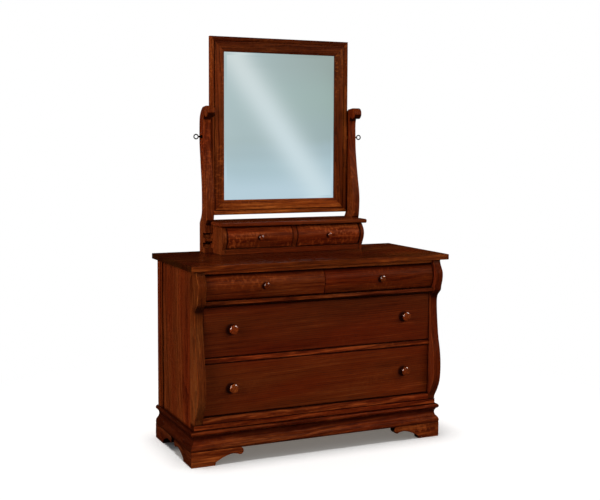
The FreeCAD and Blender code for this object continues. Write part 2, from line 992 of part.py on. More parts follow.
def frame_edges(place):
    """The section of a frame member; place(inset, depth) counts from its outer edge."""
    inner = frame_member_width
    glass_edge = inner - rabbet_width
    bevel_start = inner - frame_bevel_width
    bead_top = frame_field_depth + frame_bead_rise
    bevel_depth = frame_field_depth - frame_bevel_drop
    return [
        line(place(0, frame_back_depth), place(0, frame_field_depth)),
        arc(
            place(0, frame_field_depth),
            place(frame_bead_width / 2, bead_top),
            place(frame_bead_width, frame_field_depth),
        ),
        line(place(frame_bead_width, frame_field_depth), place(bevel_start, frame_field_depth)),
        line(place(bevel_start, frame_field_depth), place(inner, bevel_depth)),
        line(place(inner, bevel_depth), place(inner, lip_depth)),
        line(place(inner, lip_depth), place(glass_edge, lip_depth)),
        line(place(glass_edge, lip_depth), place(glass_edge, frame_back_depth)),
        line(place(glass_edge, frame_back_depth), place(0, frame_back_depth)),
    ]


def frame_wedge(outer_a, outer_b, inner_b, inner_a):
    """The mitred space of one frame member, over the whole depth of the frame."""
    reach = frame_bead_rise + frame_field_depth
    return prism([outer_a, outer_b, inner_b, inner_a], Vector(0, -reach, 0))


def mirror_stile():
    """The left side of the mirror's frame, bored for its socket."""
    edges = frame_edges(lambda inset, depth: at(-mirror_half + inset, depth, mirror_bottom))
    bar = pushed(edges, Vector(0, 0, mirror_height))
    inner = -mirror_half + frame_member_width
    wedge = frame_wedge(
        at(-mirror_half, 0, mirror_bottom),
        at(-mirror_half, 0, mirror_top),
        at(inner, 0, mirror_top - frame_member_width),
        at(inner, 0, mirror_bottom + frame_member_width),
    )
    start = at(-mirror_half, pivot_depth, pivot_height)
    bore = Part.makeCylinder(socket_radius + screw_play, socket_length, start, Vector(1, 0, 0))
    return bar.common(wedge).cut(bore)


def mirror_rail(outer, inner):
    """The top or bottom of the mirror's frame, from its outer edge height to its inner one."""
    step = 1 if inner > outer else -1
    edges = frame_edges(lambda inset, depth: at(-mirror_half, depth, outer + step * inset))
    bar = pushed(edges, Vector(2 * mirror_half, 0, 0))
    half = mirror_half - frame_member_width
    wedge = frame_wedge(
        at(-mirror_half, 0, outer), at(mirror_half, 0, outer), at(half, 0, inner), at(-half, 0, inner)
    )
    return bar.common(wedge)


def mirror_rails():
    bottom = mirror_rail(mirror_bottom, mirror_bottom + frame_member_width)
    return group([bottom, mirror_rail(mirror_top, mirror_top - frame_member_width)])


def mirror_sheet(back, thickness):
    """A sheet in the rabbet of the frame, a little smaller than the rabbet."""
    margin = frame_member_width - rabbet_width + glass_gap
    half = mirror_half - margin
    return box(-half, half, back, back + thickness, mirror_bottom + margin, mirror_top - margin)


def mirror_glass():
    return mirror_sheet(lip_depth - glass_thickness, glass_thickness)


def mirror_backing():
    return mirror_sheet(lip_depth - glass_thickness - backing_thickness, backing_thickness)


def mirror_sockets():
    """The threaded sockets that the thumb screws enter, each with a flange outside the frame."""
    right = Vector(1, 0, 0)
    flange = mirror_side_gap - socket_flange_play
    face = at(-mirror_half, pivot_depth, pivot_height)
    flange_start = at(-mirror_half - flange, pivot_depth, pivot_height)
    socket = Part.makeCylinder(socket_radius, socket_length, face, right)
    socket = socket.fuse(Part.makeCylinder(socket_flange_radius, flange, flange_start, right))
    bore = Part.makeCylinder(screw_radius + screw_play, flange + socket_length, flange_start, right)
    socket = socket.cut(bore)
    return group([socket, mirrored(socket)])


def thumb_screw():
    """The left screw: a stem, a collar outside the harp post, a neck and a finger ring."""
    left = Vector(-1, 0, 0)
    tip_x = -mirror_half + screw_grip
    collar_x = -harp_outer - collar_play
    neck_x = collar_x - collar_thickness
    ring_x = neck_x - neck_length - ring_radius
    stem = Part.makeCylinder(screw_radius, tip_x - neck_x, at(tip_x, pivot_depth, pivot_height), left)
    collar_start = at(collar_x, pivot_depth, pivot_height)
    collar = Part.makeCylinder(collar_radius, collar_thickness, collar_start, left)
    neck_start = at(neck_x, pivot_depth, pivot_height)
    neck = Part.makeCone(neck_radius, ring_wire_radius, neck_length, neck_start, left)
    ring_centre = at(ring_x, pivot_depth, pivot_height)
    ring = Part.makeTorus(ring_radius, ring_wire_radius, ring_centre, Vector(0, 1, 0))
    return stem.fuse([collar, neck, ring]).removeSplitter()


def main():
    os.makedirs("parts", exist_ok=True)
    save("top_board", top_board())
    save_pair("side_panel", side_panel())
    save("back_stiles", back_stiles())
    save("back_panel", back_panel())
    save_pair("front_post", front_post())
    save("base_sill", rail(side_outer, base_height, sill_top, sill_front_depth))
    save("lower_rail", rail(post_inner, sill_top, lower_rail_top, lower_rail_front_depth))
    save("middle_rail", rail(post_inner, middle_rail_bottom, middle_rail_top, middle_rail_front_depth))
    save("upper_rail", upper_rail())
    save("top_rail", top_rail())
    save("partition", partition())
    save("dust_boards", dust_boards())
    save("drawer_guides", drawer_guides())

    front = wide_drawer_front_depth
    upper_face = flat_face(middle_rail_top, upper_drawer_opening, front)
    wide_drawer("upper_drawer", upper_face, middle_rail_top, upper_drawer_opening, front, upper_knob_rise)
    lower_face = leaning_face(lower_rail_top, lower_drawer_opening, front, lower_drawer_lean)
    front -= lean_middle_share * lower_drawer_lean
    wide_drawer("lower_drawer", lower_face, lower_rail_top, lower_drawer_opening, front, lower_knob_rise)
    small_drawers()

    save("base_moulding_front", base_moulding_front())
    save_pair("base_moulding", base_moulding_side())
    save("base_back_rail", base_back_rail())
    save("foot_front_boards", foot_front_boards())
    save("foot_side_boards", foot_side_boards())
    save("foot_blocks", foot_blocks())

    save("box_ends", box_ends())
    save("box_floor", box_floor())
    save("box_back", box_back())
    save("box_divider", box_divider())
    save("box_shelf", box_shelf())
    box_drawers()

    save_pair("harp_post", harp_post())
    save_pair("mirror_stile", mirror_stile())
    save("mirror_rails", mirror_rails())
    save("mirror_glass", mirror_glass())
    save("mirror_backing", mirror_backing())
    save("mirror_sockets", mirror_sockets())
    save_pair("thumb_screw", thumb_screw())


main()
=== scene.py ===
import math

import bmesh
import bpy
from mathutils import Matrix, Vector


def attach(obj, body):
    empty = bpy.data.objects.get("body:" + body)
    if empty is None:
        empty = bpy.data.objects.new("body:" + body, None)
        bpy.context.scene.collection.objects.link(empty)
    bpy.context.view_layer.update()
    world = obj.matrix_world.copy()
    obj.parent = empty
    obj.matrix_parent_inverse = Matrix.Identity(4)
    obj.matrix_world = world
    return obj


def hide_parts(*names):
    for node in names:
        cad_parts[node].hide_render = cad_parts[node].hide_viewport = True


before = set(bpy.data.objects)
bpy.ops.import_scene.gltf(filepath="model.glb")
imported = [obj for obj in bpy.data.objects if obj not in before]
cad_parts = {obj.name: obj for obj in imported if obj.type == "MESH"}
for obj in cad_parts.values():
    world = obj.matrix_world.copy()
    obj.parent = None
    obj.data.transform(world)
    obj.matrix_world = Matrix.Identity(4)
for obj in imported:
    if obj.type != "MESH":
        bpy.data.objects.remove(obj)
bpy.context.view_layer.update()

BACK_Y = 0.280

# Camera: its place, its aim in degrees, and its lens on a 36 mm sensor
CAMERA_PLACE = Vector((-1.9758, BACK_Y - 4.5858, 1.3817))
CAMERA_YAW = math.radians(24.6016)
CAMERA_PITCH = math.radians(-4.1404)
CAMERA_ROLL = math.radians(0.228)
CAMERA_LENS = 62.231
CAMERA_SHIFT_Y = -0.05833
SENSOR_WIDTH = 36.0

# Colours of the stage and its lamps, and how far the floor runs, in metres
WHITE = (1.0, 1.0, 1.0)
LAMPLIGHT = (1.0, 0.66, 0.46)
FLOOR_SPAN = (-14.0, 14.0)

# Stain colours of the oak, from the pores through dark and middle to the light wood between them
OAK = ((0.016, 0.0018, 0.0005), (0.036, 0.0042, 0.0009), (0.078, 0.0110, 0.0020), (0.150, 0.0270, 0.0052))

# The same for the plain wood inside
PALE = ((0.24, 0.13, 0.055), (0.42, 0.26, 0.13), (0.52, 0.35, 0.19), (0.62, 0.45, 0.27))


# Node helpers
class Nodes:
    """Adds nodes to an emptied tree and links them; an input takes a socket or a plain value."""

    def __init__(self, tree):
        self.tree = tree
        tree.nodes.clear()

    def put(self, value, socket):
        if isinstance(value, bpy.types.NodeSocket):
            self.tree.links.new(value, socket)
        elif socket.type == "RGBA":
            socket.default_value = (*value, 1.0)
        else:
            socket.default_value = value

    def add(self, kind, inputs=None, **settings):
        node = self.tree.nodes.new(kind)
        for key, value in settings.items():
            setattr(node, key, value)
        for key, value in (inputs or {}).items():
            self.put(value, node.inputs[key])
        return node

    def math(self, operation, a, b=0.0, clamp=False):
        return self.add("ShaderNodeMath", {0: a, 1: b}, operation=operation, use_clamp=clamp).outputs[0]

    def plus(self, a, b, clamp=False):
        return self.math("ADD", a, b, clamp)

    def minus(self, a, b, clamp=False):
        return self.math("SUBTRACT", a, b, clamp)

    def times(self, a, b):
        return self.math("MULTIPLY", a, b)

    def chain(self, operation, values):
        """One math operation carried through a list of values."""
        result = values[0]
        for value in values[1:]:
            result = self.math(operation, result, value)
        return result

    def bell(self, value, centre, width):
        """A bell curve: 1 at the centre, and 1/e at a width from it."""
        off = self.math("DIVIDE", self.minus(value, centre), width)
        return self.math("POWER", 2.718, self.times(self.times(off, off), -1.0))

    def remap(self, value, low, high, start=0.0, end=1.0, smooth=False):
        """The value carried from low and high to start and end, and held there beyond them."""
        return self.add("ShaderNodeMapRange", {
            "Value": value, "From Min": low, "From Max": high, "To Min": start, "To Max": end,
        }, interpolation_type="SMOOTHSTEP" if smooth else "LINEAR").outputs[0]

    def place(self):
        return self.add("ShaderNodeTexCoord").outputs["Object"]

    def parts(self, vector):
        return self.add("ShaderNodeSeparateXYZ", {"Vector": vector}).outputs

    def noise(self, vector, scale, detail, roughness=0.5):
        return self.add("ShaderNodeTexNoise", {
            "Vector": vector, "Scale": scale, "Detail": detail, "Roughness": roughness,
        }).outputs

    def ramp(self, value, stops):
        node = self.add("ShaderNodeValToRGB", {0: value})
        node.color_ramp.interpolation = "EASE"
        elements = node.color_ramp.elements
        while len(elements) < len(stops):
            elements.new(0.5)
        for element, (place, colour) in zip(elements, stops):
            element.position = place
            element.color = (*colour, 1.0)
        return node.outputs[0]

    def mix(self, factor, a, b, blend="MIX"):
        node = self.add("ShaderNodeMix", data_type="RGBA", blend_type=blend)
        for key, value in (("Factor", factor), ("A", a), ("B", b)):
            self.put(value, [s for s in node.inputs if s.name == key and s.enabled][0])
        return [s for s in node.outputs if s.enabled][0]

    def glow(self, colour, strength=1.0):
        return self.add("ShaderNodeEmission", {"Color": colour, "Strength": strength}).outputs[0]

    def either(self, factor, first, second):
        return self.add("ShaderNodeMixShader", {0: factor, 1: first, 2: second}).outputs[0]

    def bump(self, strength, distance, height):
        inputs = {"Strength": strength, "Distance": distance, "Height": height}
        return self.add("ShaderNodeBump", inputs).outputs[0]

    def finish(self, shader):
        self.add("ShaderNodeOutputMaterial", {"Surface": shader})

    def principled(self, inputs):
        self.finish(self.add("ShaderNodeBsdfPrincipled", inputs).outputs[0])


def new_material(name):
    material = bpy.data.materials.new(name)
    material.use_nodes = True
    return material, Nodes(material.node_tree)


GRAIN_TURNS = {
    "X": (0.0, 0.0, 0.0),
    "Y": (0.0, 0.0, math.radians(-90)),
    "Z": (0.0, math.radians(90), 0.0),
}

# How much painted shade shows along a rim (the joints), round a spot (a knob's shadow) and round the foot of
# a part (its contact shadow)
RIM_SHADE, SPOT_SHADE, CONTACT_SHADE = 0.85, 0.92, 0.9
# Where the painted shade starts on a rim, and where it starts and ends round a foot, in mm, and round a spot,
# in shares of its radius
RIM_START = 0.8
SPOT_SHARES = (0.70, 1.12)
CONTACT_REACH = (3.0, 34.0)
# The colour of the painted shade
PAINTED_SHADE_COLOUR = (0.009, 0.0012, 0.0005)


def painted_shade_mask(n, place, rim, reach, spots, shades, contacts):
    """How dark the painted shade is: along the joints at a rim, round knobs' shadow spots, in bands and as a
    contact shadow round the foot of a part, all in mm.
    """
    parts = n.parts(place)
    masks = []
    if rim:
        across, up = n.math("ABSOLUTE", parts["X"]), parts["Z"]
        gaps = []
        for low, high, value in ((rim[0], rim[1], across), (rim[2], rim[3], up)):
            if low is not None:
                gaps.append(n.minus(value, low / 1000))
            if high is not None:
                gaps.append(n.minus(high / 1000, value))
        near = n.chain("MINIMUM", gaps)
        masks.append(n.remap(near, RIM_START / 1000, reach / 1000, RIM_SHADE, 0.0, smooth=True))
    for x, depth, z, radius in spots:
        centre = (x / 1000, (BACK - depth) / 1000, z / 1000)
        gap = n.add("ShaderNodeVectorMath", {0: place, 1: centre}, operation="DISTANCE").outputs["Value"]
        inner, outer = [radius * share / 1000 for share in SPOT_SHARES]
        masks.append(n.remap(gap, inner, outer, SPOT_SHADE, 0.0, smooth=True))
    for axis, centre, width, strength, *ahead in shades:
        band = n.bell(parts[axis], centre / 1000, width / 1000)
        for depth in ahead:
            front = (BACK - depth) / 1000
            band = n.times(band, n.remap(parts["Y"], front - 0.005, front, 1.0, 0.0))
        masks.append(n.times(band, strength))
    for half, depth in contacts:
        side = n.minus(n.math("ABSOLUTE", parts["X"]), half / 1000)
        fore = n.minus((BACK - depth) / 1000, parts["Y"])
        start, end = [edge / 1000 for edge in CONTACT_REACH]
        masks.append(n.remap(n.math("MAXIMUM", side, fore), start, end, CONTACT_SHADE, 0.0, smooth=True))
    return n.chain("MAXIMUM", masks)


# The log that the boards are cut from: how far out of line they are in degrees, its rings to a metre,
# and the turn in radians to a metre of the runs of wide and narrow rings
BOARD_TILT = 1.2
RINGS = 118.0
RUNS = 265.0


def wood(
    name, along, seed, colours, tone=1.0, figure=1.0, flecks=1.0, gloss=0.12, rough=0.24, lean=1.0,
    rim=None, reach=4.8, spots=(), shades=(), contacts=(), fade=None, sheen=(1.0, 0.66, 0.44),
):
    """Flat-sawn open-pored wood whose grain runs along an axis; the seed picks the board.

    A fade multiplies the colour by a second tone from one place on an axis to another, in mm.
    """
    material, n = new_material(name)
    tones = tone if isinstance(tone, tuple) else (tone, tone, tone)
    pore, dark, mid, light = [tuple(c * t for c, t in zip(colour, tones)) for colour in colours]
    place = n.place()
    turned = n.add("ShaderNodeMapping", {"Vector": place, "Rotation": GRAIN_TURNS[along]}).outputs[0]
    # Each board is cut from its own place in the log, a little out of line with it
    cut = n.add("ShaderNodeMapping", {
        "Vector": turned,
        "Location": (seed * 3.17 % 5.0, seed * 0.731 % 0.23 + 0.05, seed * 0.557 % 0.17 + 0.11),
        "Rotation": (seed * 1.3 % 0.6, math.radians(BOARD_TILT), math.radians(BOARD_TILT * 0.7)),
    }).outputs[0]

    def noise(scale, detail, roughness, vector=cut):
        stretched = n.add("ShaderNodeMapping", {"Vector": vector, "Scale": scale}).outputs[0]
        return n.noise(stretched, 1.0, detail, roughness)

    def part(value, share):
        return n.times(n.minus(value, 0.5), share)

    # A slow wander of the rings, stretched along the grain
    wander = noise((1.7, 8.0, 8.0), 3.0, 0.55)["Color"]
    bent = n.add("ShaderNodeVectorMath", {0: wander, 1: (-0.5, -0.5, -0.5)}, operation="ADD").outputs[0]
    sway = 0.045 * min(figure, 1.3)
    bend = n.add("ShaderNodeVectorMath", {0: bent, "Scale": sway}, operation="SCALE").outputs[0]
    ring_place = n.add("ShaderNodeVectorMath", {0: cut, 1: bend}, operation="ADD").outputs[0]
    parts = n.parts(ring_place)
    radius = n.math("SQRT", n.plus(n.times(parts["Y"], parts["Y"]), n.times(parts["Z"], parts["Z"])))
    # Each ring starts sharply with open pores and fades into dense late wood
    ring = n.math("FRACT", n.times(radius, RINGS))
    early = n.math("POWER", n.minus(1.0, ring), 2.2)
    # Runs of wide and narrow rings show as broader stripes and cathedrals
    run = n.times(n.math("SINE", n.times(radius, RUNS)), 0.5)

    # Fine pores, short dark dashes along the grain
    pore_level = n.plus(noise((26.0, 900.0, 900.0), 2.0, 0.6)["Fac"], n.times(early, 0.16))
    pores = n.remap(pore_level, 0.60, 0.72, smooth=True)
    # Fibres a millimetre or two wide, streaks of a centimetre, and broad bands of more or less stain
    fibres = noise((3.0, 240.0, 240.0), 4.0, 0.65)["Fac"]
    streaks = noise((3.4, 88.0, 88.0), 3.0, 0.62, ring_place)["Fac"]
    bands = noise((1.1, 15.0, 15.0), 3.0, 0.55)["Fac"]
    # Blotches, a few centimetres long, where the open grain drank more of the stain
    blotches = noise((17.0, 82.0, 82.0), 2.0, 0.6)["Fac"]
    # Rays, short bright flecks across the grain, in patches
    rays = n.remap(noise((95.0, 60.0, 60.0), 2.0, 0.5)["Fac"], 0.50, 0.66)
    least = 0.56 - 0.05 * flecks
    patches = n.remap(noise((2.6, 11.0, 11.0), 2.0, 0.5)["Fac"], least, least + 0.14)

    level = n.chain("ADD", [
        part(fibres, 0.95 * max(1.0, 0.6 * figure)), part(streaks, 0.90 * figure), part(bands, 0.95),
        part(blotches, 0.42 * figure), n.times(run, 0.13 * figure),
    ])
    level = n.minus(level, n.times(early, 0.24))
    level = n.plus(level, 0.54, clamp=True)
    colour = n.ramp(level, [(0.06, dark), (0.50, mid), (0.96, light)])
    flecked = n.times(n.times(rays, patches), min(0.26 * flecks, 0.9))
    colour = n.mix(flecked, colour, tuple(1.35 * c for c in light))
    colour = n.mix(n.times(pores, 0.70), colour, pore)
    # The stain leans to red in some places and to orange in others
    hue = n.remap(noise((1.4, 7.0, 7.0), 2.0, 0.5)["Fac"], 0.36, 0.64)
    red = (1.0, 1.0 - 0.20 * lean, 1.0 - 0.26 * lean)
    orange = (1.0, 1.0 + 0.20 * lean, 1.0 + 0.24 * lean)
    colour = n.mix(1.0, colour, n.mix(hue, red, orange), "MULTIPLY")
    if fade:
        axis, start, end, gain = fade
        share = n.remap(n.parts(place)[axis], start / 1000, end / 1000, smooth=True)
        colour = n.mix(1.0, colour, n.mix(share, (1.0, 1.0, 1.0), gain), "MULTIPLY")
    # Painted shade: darker along joints, round knobs, in bands and round the foot of a part
    if rim or spots or shades or contacts:
        colour = n.mix(painted_shade_mask(n, place, rim, reach, spots, shades, contacts), colour, PAINTED_SHADE_COLOUR)

    roughness = n.plus(n.times(pores, 0.16), n.times(fibres, 0.10))
    n.principled({
        "Base Color": colour,
        "Roughness": n.plus(roughness, rough - 0.04),
        "Specular IOR Level": gloss,
        "Specular Tint": sheen,
        "Normal": n.bump(0.22, 0.0004, n.minus(n.times(fibres, 0.25), pores)),
    })
    return material


made = {}


def once(name, along, seed, colours, **more):
    """The wood of that name, made the first time it is wanted."""
    if name not in made:
        made[name] = wood(name, along, seed, colours, **more)
    return made[name]


def oak(along, seed, **more):
    return once("oak_%s_%d" % (along, seed), along, seed, OAK, **more)


def painted_shaded(along, seed):
    """The same wood darkened as painted shade, for faces in joints, recesses, undersides and knob necks."""
    return once("painted_shade_%s_%d" % (along, seed), along, seed, OAK, tone=0.22, gloss=0.06)


def shaded(along, seed):
    """The cut edges under the base, painted nearly black as deep shade."""
    return once("edge_%s_%d" % (along, seed), along, seed, OAK, tone=0.07, gloss=0.03)


def end_grain(along, seed):
    """End grain, which drinks more stain."""
    return once("end_%s_%d" % (along, seed), along, seed, OAK, tone=(0.22, 0.27, 0.22))


def pale(along, seed):
    return once("pale_%s_%d" % (along, seed), along, seed, PALE, gloss=0.3, figure=0.6, lean=0.12)


def plywood(along):
    return once("plywood_" + along, along, 41, PALE, tone=0.9, gloss=0.3, lean=0.12)


def paint(node, material):
    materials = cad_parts[node].data.materials
    materials.clear()
    materials.append(material)


def metal(name, colour, roughness, wear_and_highlight):
    """Dark metal, rubbed brighter in patches."""
    material, n = new_material(name)
    patches = n.noise(n.place(), 180.0, 4.0, 0.6)["Fac"]
    n.principled({
        "Base Color": n.mix(n.remap(patches, 0.45, 0.75), colour, wear_and_highlight),
        "Metallic": 1.0,
        "Roughness": n.plus(n.times(patches, 0.25), roughness - 0.12),
        "Normal": n.bump(0.15, 0.0002, patches),
    })
    return material


def silvered_glass():
    """A mirror with a faint cool tint."""
    material, n = new_material("silvered_glass")
    haze = n.noise(n.place(), 5.0, 3.0)["Fac"]
    tint = n.mix(haze, (0.93, 0.95, 0.95), (0.95, 0.97, 0.97))
    n.principled({"Base Color": tint, "Metallic": 1.0, "Roughness": 0.0})
    return material


# Stage, camera and light
def linked(name, data):
    """A new object of the scene."""
    obj = bpy.data.objects.new(name, data)
    bpy.context.scene.collection.objects.link(obj)
    return obj


def add_camera():
    forward = Vector((
        math.sin(CAMERA_YAW) * math.cos(CAMERA_PITCH),
        math.cos(CAMERA_YAW) * math.cos(CAMERA_PITCH),
        math.sin(CAMERA_PITCH),
    ))
    level = Vector((math.cos(CAMERA_YAW), -math.sin(CAMERA_YAW), 0))
    up = level.cross(forward)
    right = level * math.cos(CAMERA_ROLL) + up * math.sin(CAMERA_ROLL)
    up = right.cross(forward)
    data = bpy.data.cameras.new("camera")
    data.sensor_width = SENSOR_WIDTH
    data.lens = CAMERA_LENS
    data.shift_y = CAMERA_SHIFT_Y
    data.clip_end = 60.0
    camera = linked("camera", data)
    camera.matrix_world = Matrix((
        (right.x, up.x, -forward.x, CAMERA_PLACE.x),
        (right.y, up.y, -forward.y, CAMERA_PLACE.y),
        (right.z, up.z, -forward.z, CAMERA_PLACE.z),
        (0, 0, 0, 1),
    ))
    bpy.context.scene.camera = camera


def add_lamp(name, data, place, target):
    light = linked(name, data)
    light.location = place
    aim = Vector(target) - Vector(place)
    light.rotation_euler = aim.to_track_quat("-Z", "Y").to_euler()
    return light


def add_area(name, place, size, power, aim, hidden):
    """A rectangular lamp that one kind of ray doesn't see."""
    data = bpy.data.lights.new(name, "AREA")
    data.shape = "RECTANGLE"
    data.size, data.size_y = size
    data.energy = power
    light = add_lamp(name, data, place, aim)
    setattr(light, "visible_" + hidden, False)
    return light


def add_softbox(name, place, size, power):
    """A wide lamp that lights the object softly and isn't seen in its gloss."""
    return add_area(name, place, size, power, (0, 0, 0.8), "glossy")


def add_glint(name, place, size, power, colour):
    """A small round lamp that only the gloss shows, as a crisp highlight."""
    light = add_area(name, place, (size, size), power, (0, -0.2, 0.7), "diffuse")
    light.data.shape = "DISK"
    light.data.color = colour
    return light


def background_seen(n):
    """1 for the rays that show the background: camera, glossy and transmission rays."""
    path = n.add("ShaderNodeLightPath").outputs
    return n.chain("MAXIMUM", [path["Is %s Ray" % kind] for kind in ("Camera", "Glossy", "Transmission")])


def mirror_ray(n):
    """1 for a ray that left the mirror, the one perfectly sharp surface."""
    return n.add("ShaderNodeLightPath").outputs["Is Singular Ray"]


def add_world():
    world = bpy.data.worlds.new("studio")
    world.use_nodes = True
    n = Nodes(world.node_tree)
    dim = n.add("ShaderNodeBackground", {"Color": (0.95, 0.97, 1.0), "Strength": 0.25}).outputs[0]
    white = n.add("ShaderNodeBackground", {"Color": WHITE, "Strength": 1.0}).outputs[0]
    n.add("ShaderNodeOutputWorld", {"Surface": n.either(background_seen(n), dim, white)})
    bpy.context.scene.world = world


def sheet(name, axis, place, u, v, material):
    """A rectangle of the stage, at a place on one axis, over a span of each of the other two."""
    corners = []
    for corner in ((u[0], v[0]), (u[1], v[0]), (u[1], v[1]), (u[0], v[1])):
        corner = list(corner)
        corner.insert("XYZ".index(axis), place)
        corners.append(corner)
    mesh = bpy.data.meshes.new(name)
    mesh.from_pydata(corners, [], [(0, 1, 2, 3)])
    mesh.materials.append(material)
    obj = linked(name, mesh)
    return obj


def add_floor():
    """A white floor that keeps the soft shadow near the object, with a painted shadow deep under it, and runs
    out into pure white.
    """
    material, n = new_material("floor_white")
    place = n.place()
    plain = n.mix(n.noise(place, 30.0, 2.0)["Fac"], (0.36, 0.36, 0.36), (0.38, 0.38, 0.38))
    seen = background_seen(n)
    diffuse = n.add("ShaderNodeBsdfDiffuse", {"Color": n.mix(seen, plain, WHITE)}).outputs[0]
    parts = n.parts(place)
    # Deep under the dresser a painted shadow takes away the seen glow of the floor
    under = n.remap(parts["Y"], 0.0, 0.10, smooth=True)
    for axis, edge in (("X", 0.605), ("Y", 0.275)):
        inside = n.minus(edge, n.math("ABSOLUTE", parts[axis]))
        under = n.times(under, n.remap(inside, 0.0, 0.008))
    strength = n.times(seen, n.minus(1.0, n.times(under, 0.97)))
    near = n.add("ShaderNodeAddShader", {0: diffuse, 1: n.glow((0.16, 0.145, 0.13), strength)}).outputs[0]
    side, deep = n.times(parts["X"], 0.75), n.times(parts["Y"], 0.75)
    away = n.math("SQRT", n.plus(n.times(side, side), n.times(deep, deep)))
    far = n.remap(away, 0.8, 1.5, smooth=True)
    n.finish(n.either(n.times(far, seen), near, n.glow(WHITE)))
    return sheet("floor", "Z", 0.0, FLOOR_SPAN, FLOOR_SPAN, material)


def add_painted_reflection_card():
    """A glowing card in front of the dresser, behind the camera, that only the mirror shows: its colours are
    a painted reflection.
    """
    material, n = new_material("painted_reflection_card")
    parts = n.parts(n.place())
    across = n.math("DIVIDE", n.minus(parts["X"], 1.66), 1.23)
    up = n.math("DIVIDE", n.minus(parts["Z"], 0.775), 1.48)
    base = n.ramp(n.plus(n.times(up, 0.5), 0.25, clamp=True), [
        (0.27, (0.50, 0.64, 0.72)), (0.36, (0.43, 0.565, 0.62)), (0.415, (0.385, 0.50, 0.54)),
        (0.465, (0.35, 0.45, 0.455)), (0.60, (0.35, 0.455, 0.43)), (0.73, (0.335, 0.41, 0.39)),
    ])
    left = n.times(n.minus(1.0, across, clamp=True), 0.85)
    base = n.mix(n.times(n.remap(up, 0.15, 0.45), left), base, (0.45, 0.56, 0.58))
    # A painted beam of light on the card, soft and slanting
    line = n.plus(n.times(n.minus(1.0, up), 0.849), 0.061)
    bright = n.mix(n.plus(up, 0.0, clamp=True), (0.62, 0.75, 0.81), (0.66, 0.73, 0.73))
    colour = n.mix(n.times(n.bell(across, line, 0.17), 0.95), base, bright)
    # Far out to the sides the card glows bright, painted light that draws the inner line of the bevel
    wide = n.minus(n.math("ABSOLUTE", n.minus(parts["X"], 2.275)), 0.615)
    tall = n.minus(n.math("ABSOLUTE", n.minus(parts["Z"], 1.52)), 0.745)
    outer = n.remap(n.math("MAXIMUM", wide, tall), 0.62, 0.72)
    glow = n.glow(n.mix(outer, colour, (0.95, 0.97, 1.0)))
    n.finish(n.either(mirror_ray(n), n.glow((0.010, 0.008, 0.006)), glow))
    only_in_gloss(sheet("painted_reflection_card", "Y", -5.0, (-6, 6), (0.01, 4), material))


def only_in_gloss(card):
    for rays in ("camera", "diffuse", "transmission", "volume_scatter", "shadow"):
        setattr(card, "visible_" + rays, False)


def add_dark_cards():
    """Dark cards round the dresser, which keep the varnish from looking milky. The mirror sees past them."""
    material, n = new_material("dark_card")
    patches = n.noise(n.place(), 1.5, 2.0)["Fac"]
    dark = n.glow(n.mix(patches, (0.003, 0.0022, 0.0016), (0.004, 0.003, 0.0022)))
    clear = n.add("ShaderNodeBsdfTransparent").outputs[0]
    n.finish(n.either(mirror_ray(n), dark, clear))
    wide, deep, high = (-8, 8), (-5.3, 5), (0, 6)
    for name, axis, place, u, v in (
        ("floor", "Z", 0.004, wide, (-4.9, 5)), ("back", "Y", 4, wide, high),
        ("low", "Y", -4.9, wide, (0, 0.6)), ("front", "Y", -5.2, wide, high),
        ("top", "Z", 5.6, wide, deep), ("left", "X", -7.5, deep, high), ("right", "X", 7.5, deep, high),
    ):
        only_in_gloss(sheet("dark_%s_card" % name, axis, place, u, v, material))


def lit_by(name, lamps):
    """A collection that says what these lamps light."""
    group = bpy.data.collections.new(name)
    for lamp in lamps:
        lamp.light_linking.receiver_collection = group
    return group


add_camera()
add_world()
floor = add_floor()
add_painted_reflection_card()
add_dark_cards()
not_floor = lit_by("not_the_floor", [
    add_softbox("left_softbox", (-4.6, -1.4, 2.2), (3.0, 3.0), 330),
    add_softbox("right_softbox", (2.6, -3.6, 2.8), (3.4, 3.0), 210),
    add_softbox("side_fill", (4.6, 1.4, 2.2), (2.2, 2.0), 190),
    add_softbox("back_fill", (-1.0, 4.6, 2.2), (2.2, 2.0), 120),
    add_glint("left_glint", (-4.2, -2.6, 2.3), 1.0, 30, LAMPLIGHT),
    add_glint("right_glint", (4.0, -3.7, 2.7), 1.0, 16, LAMPLIGHT),
])
not_floor.objects.link(floor)
not_floor.collection_objects[0].light_linking.link_state = "EXCLUDE"
turned = lit_by("turned_knobs", [
    add_glint("left_knob_glint", (-4.3, -1.9, 2.6), 3.2, 800, WHITE),
    add_glint("right_knob_glint", (3.4, -2.0, 3.8), 2.8, 520, WHITE),
])
data = bpy.data.lights.new("overhead", "SUN")
data.angle = math.radians(17)
data.energy = 2.2
overhead = add_lamp("overhead", data, (-0.14, -0.18, 3.2), (0, 0, 0))
overhead.visible_glossy = False
lit_by("the_floor", [overhead]).objects.link(floor)

bpy.context.scene.view_settings.view_transform = "Standard"


# Outline tools. Lengths from here on are in millimetres, as in the solids:
# a depth counts forward from the plane of the back.
BACK = 280.0
MM = 0.001
SIDES = (("left", -1), ("right", 1))


def at(x, depth, height):
    return Vector((x, BACK - depth, height))


PLACERS = {
    "X": lambda u, v, t: at(t, u, v),
    "Y": lambda u, v, t: at(u, t, v),
    "Z": lambda u, v, t: at(u, v, t),
}


def turn_at(before, point, after):
    """The angle by which an outline turns at a point."""
    a = (point - before).normalized()
    b = (after - point).normalized()
    return math.atan2(a.x * b.y - a.y * b.x, a.dot(b))


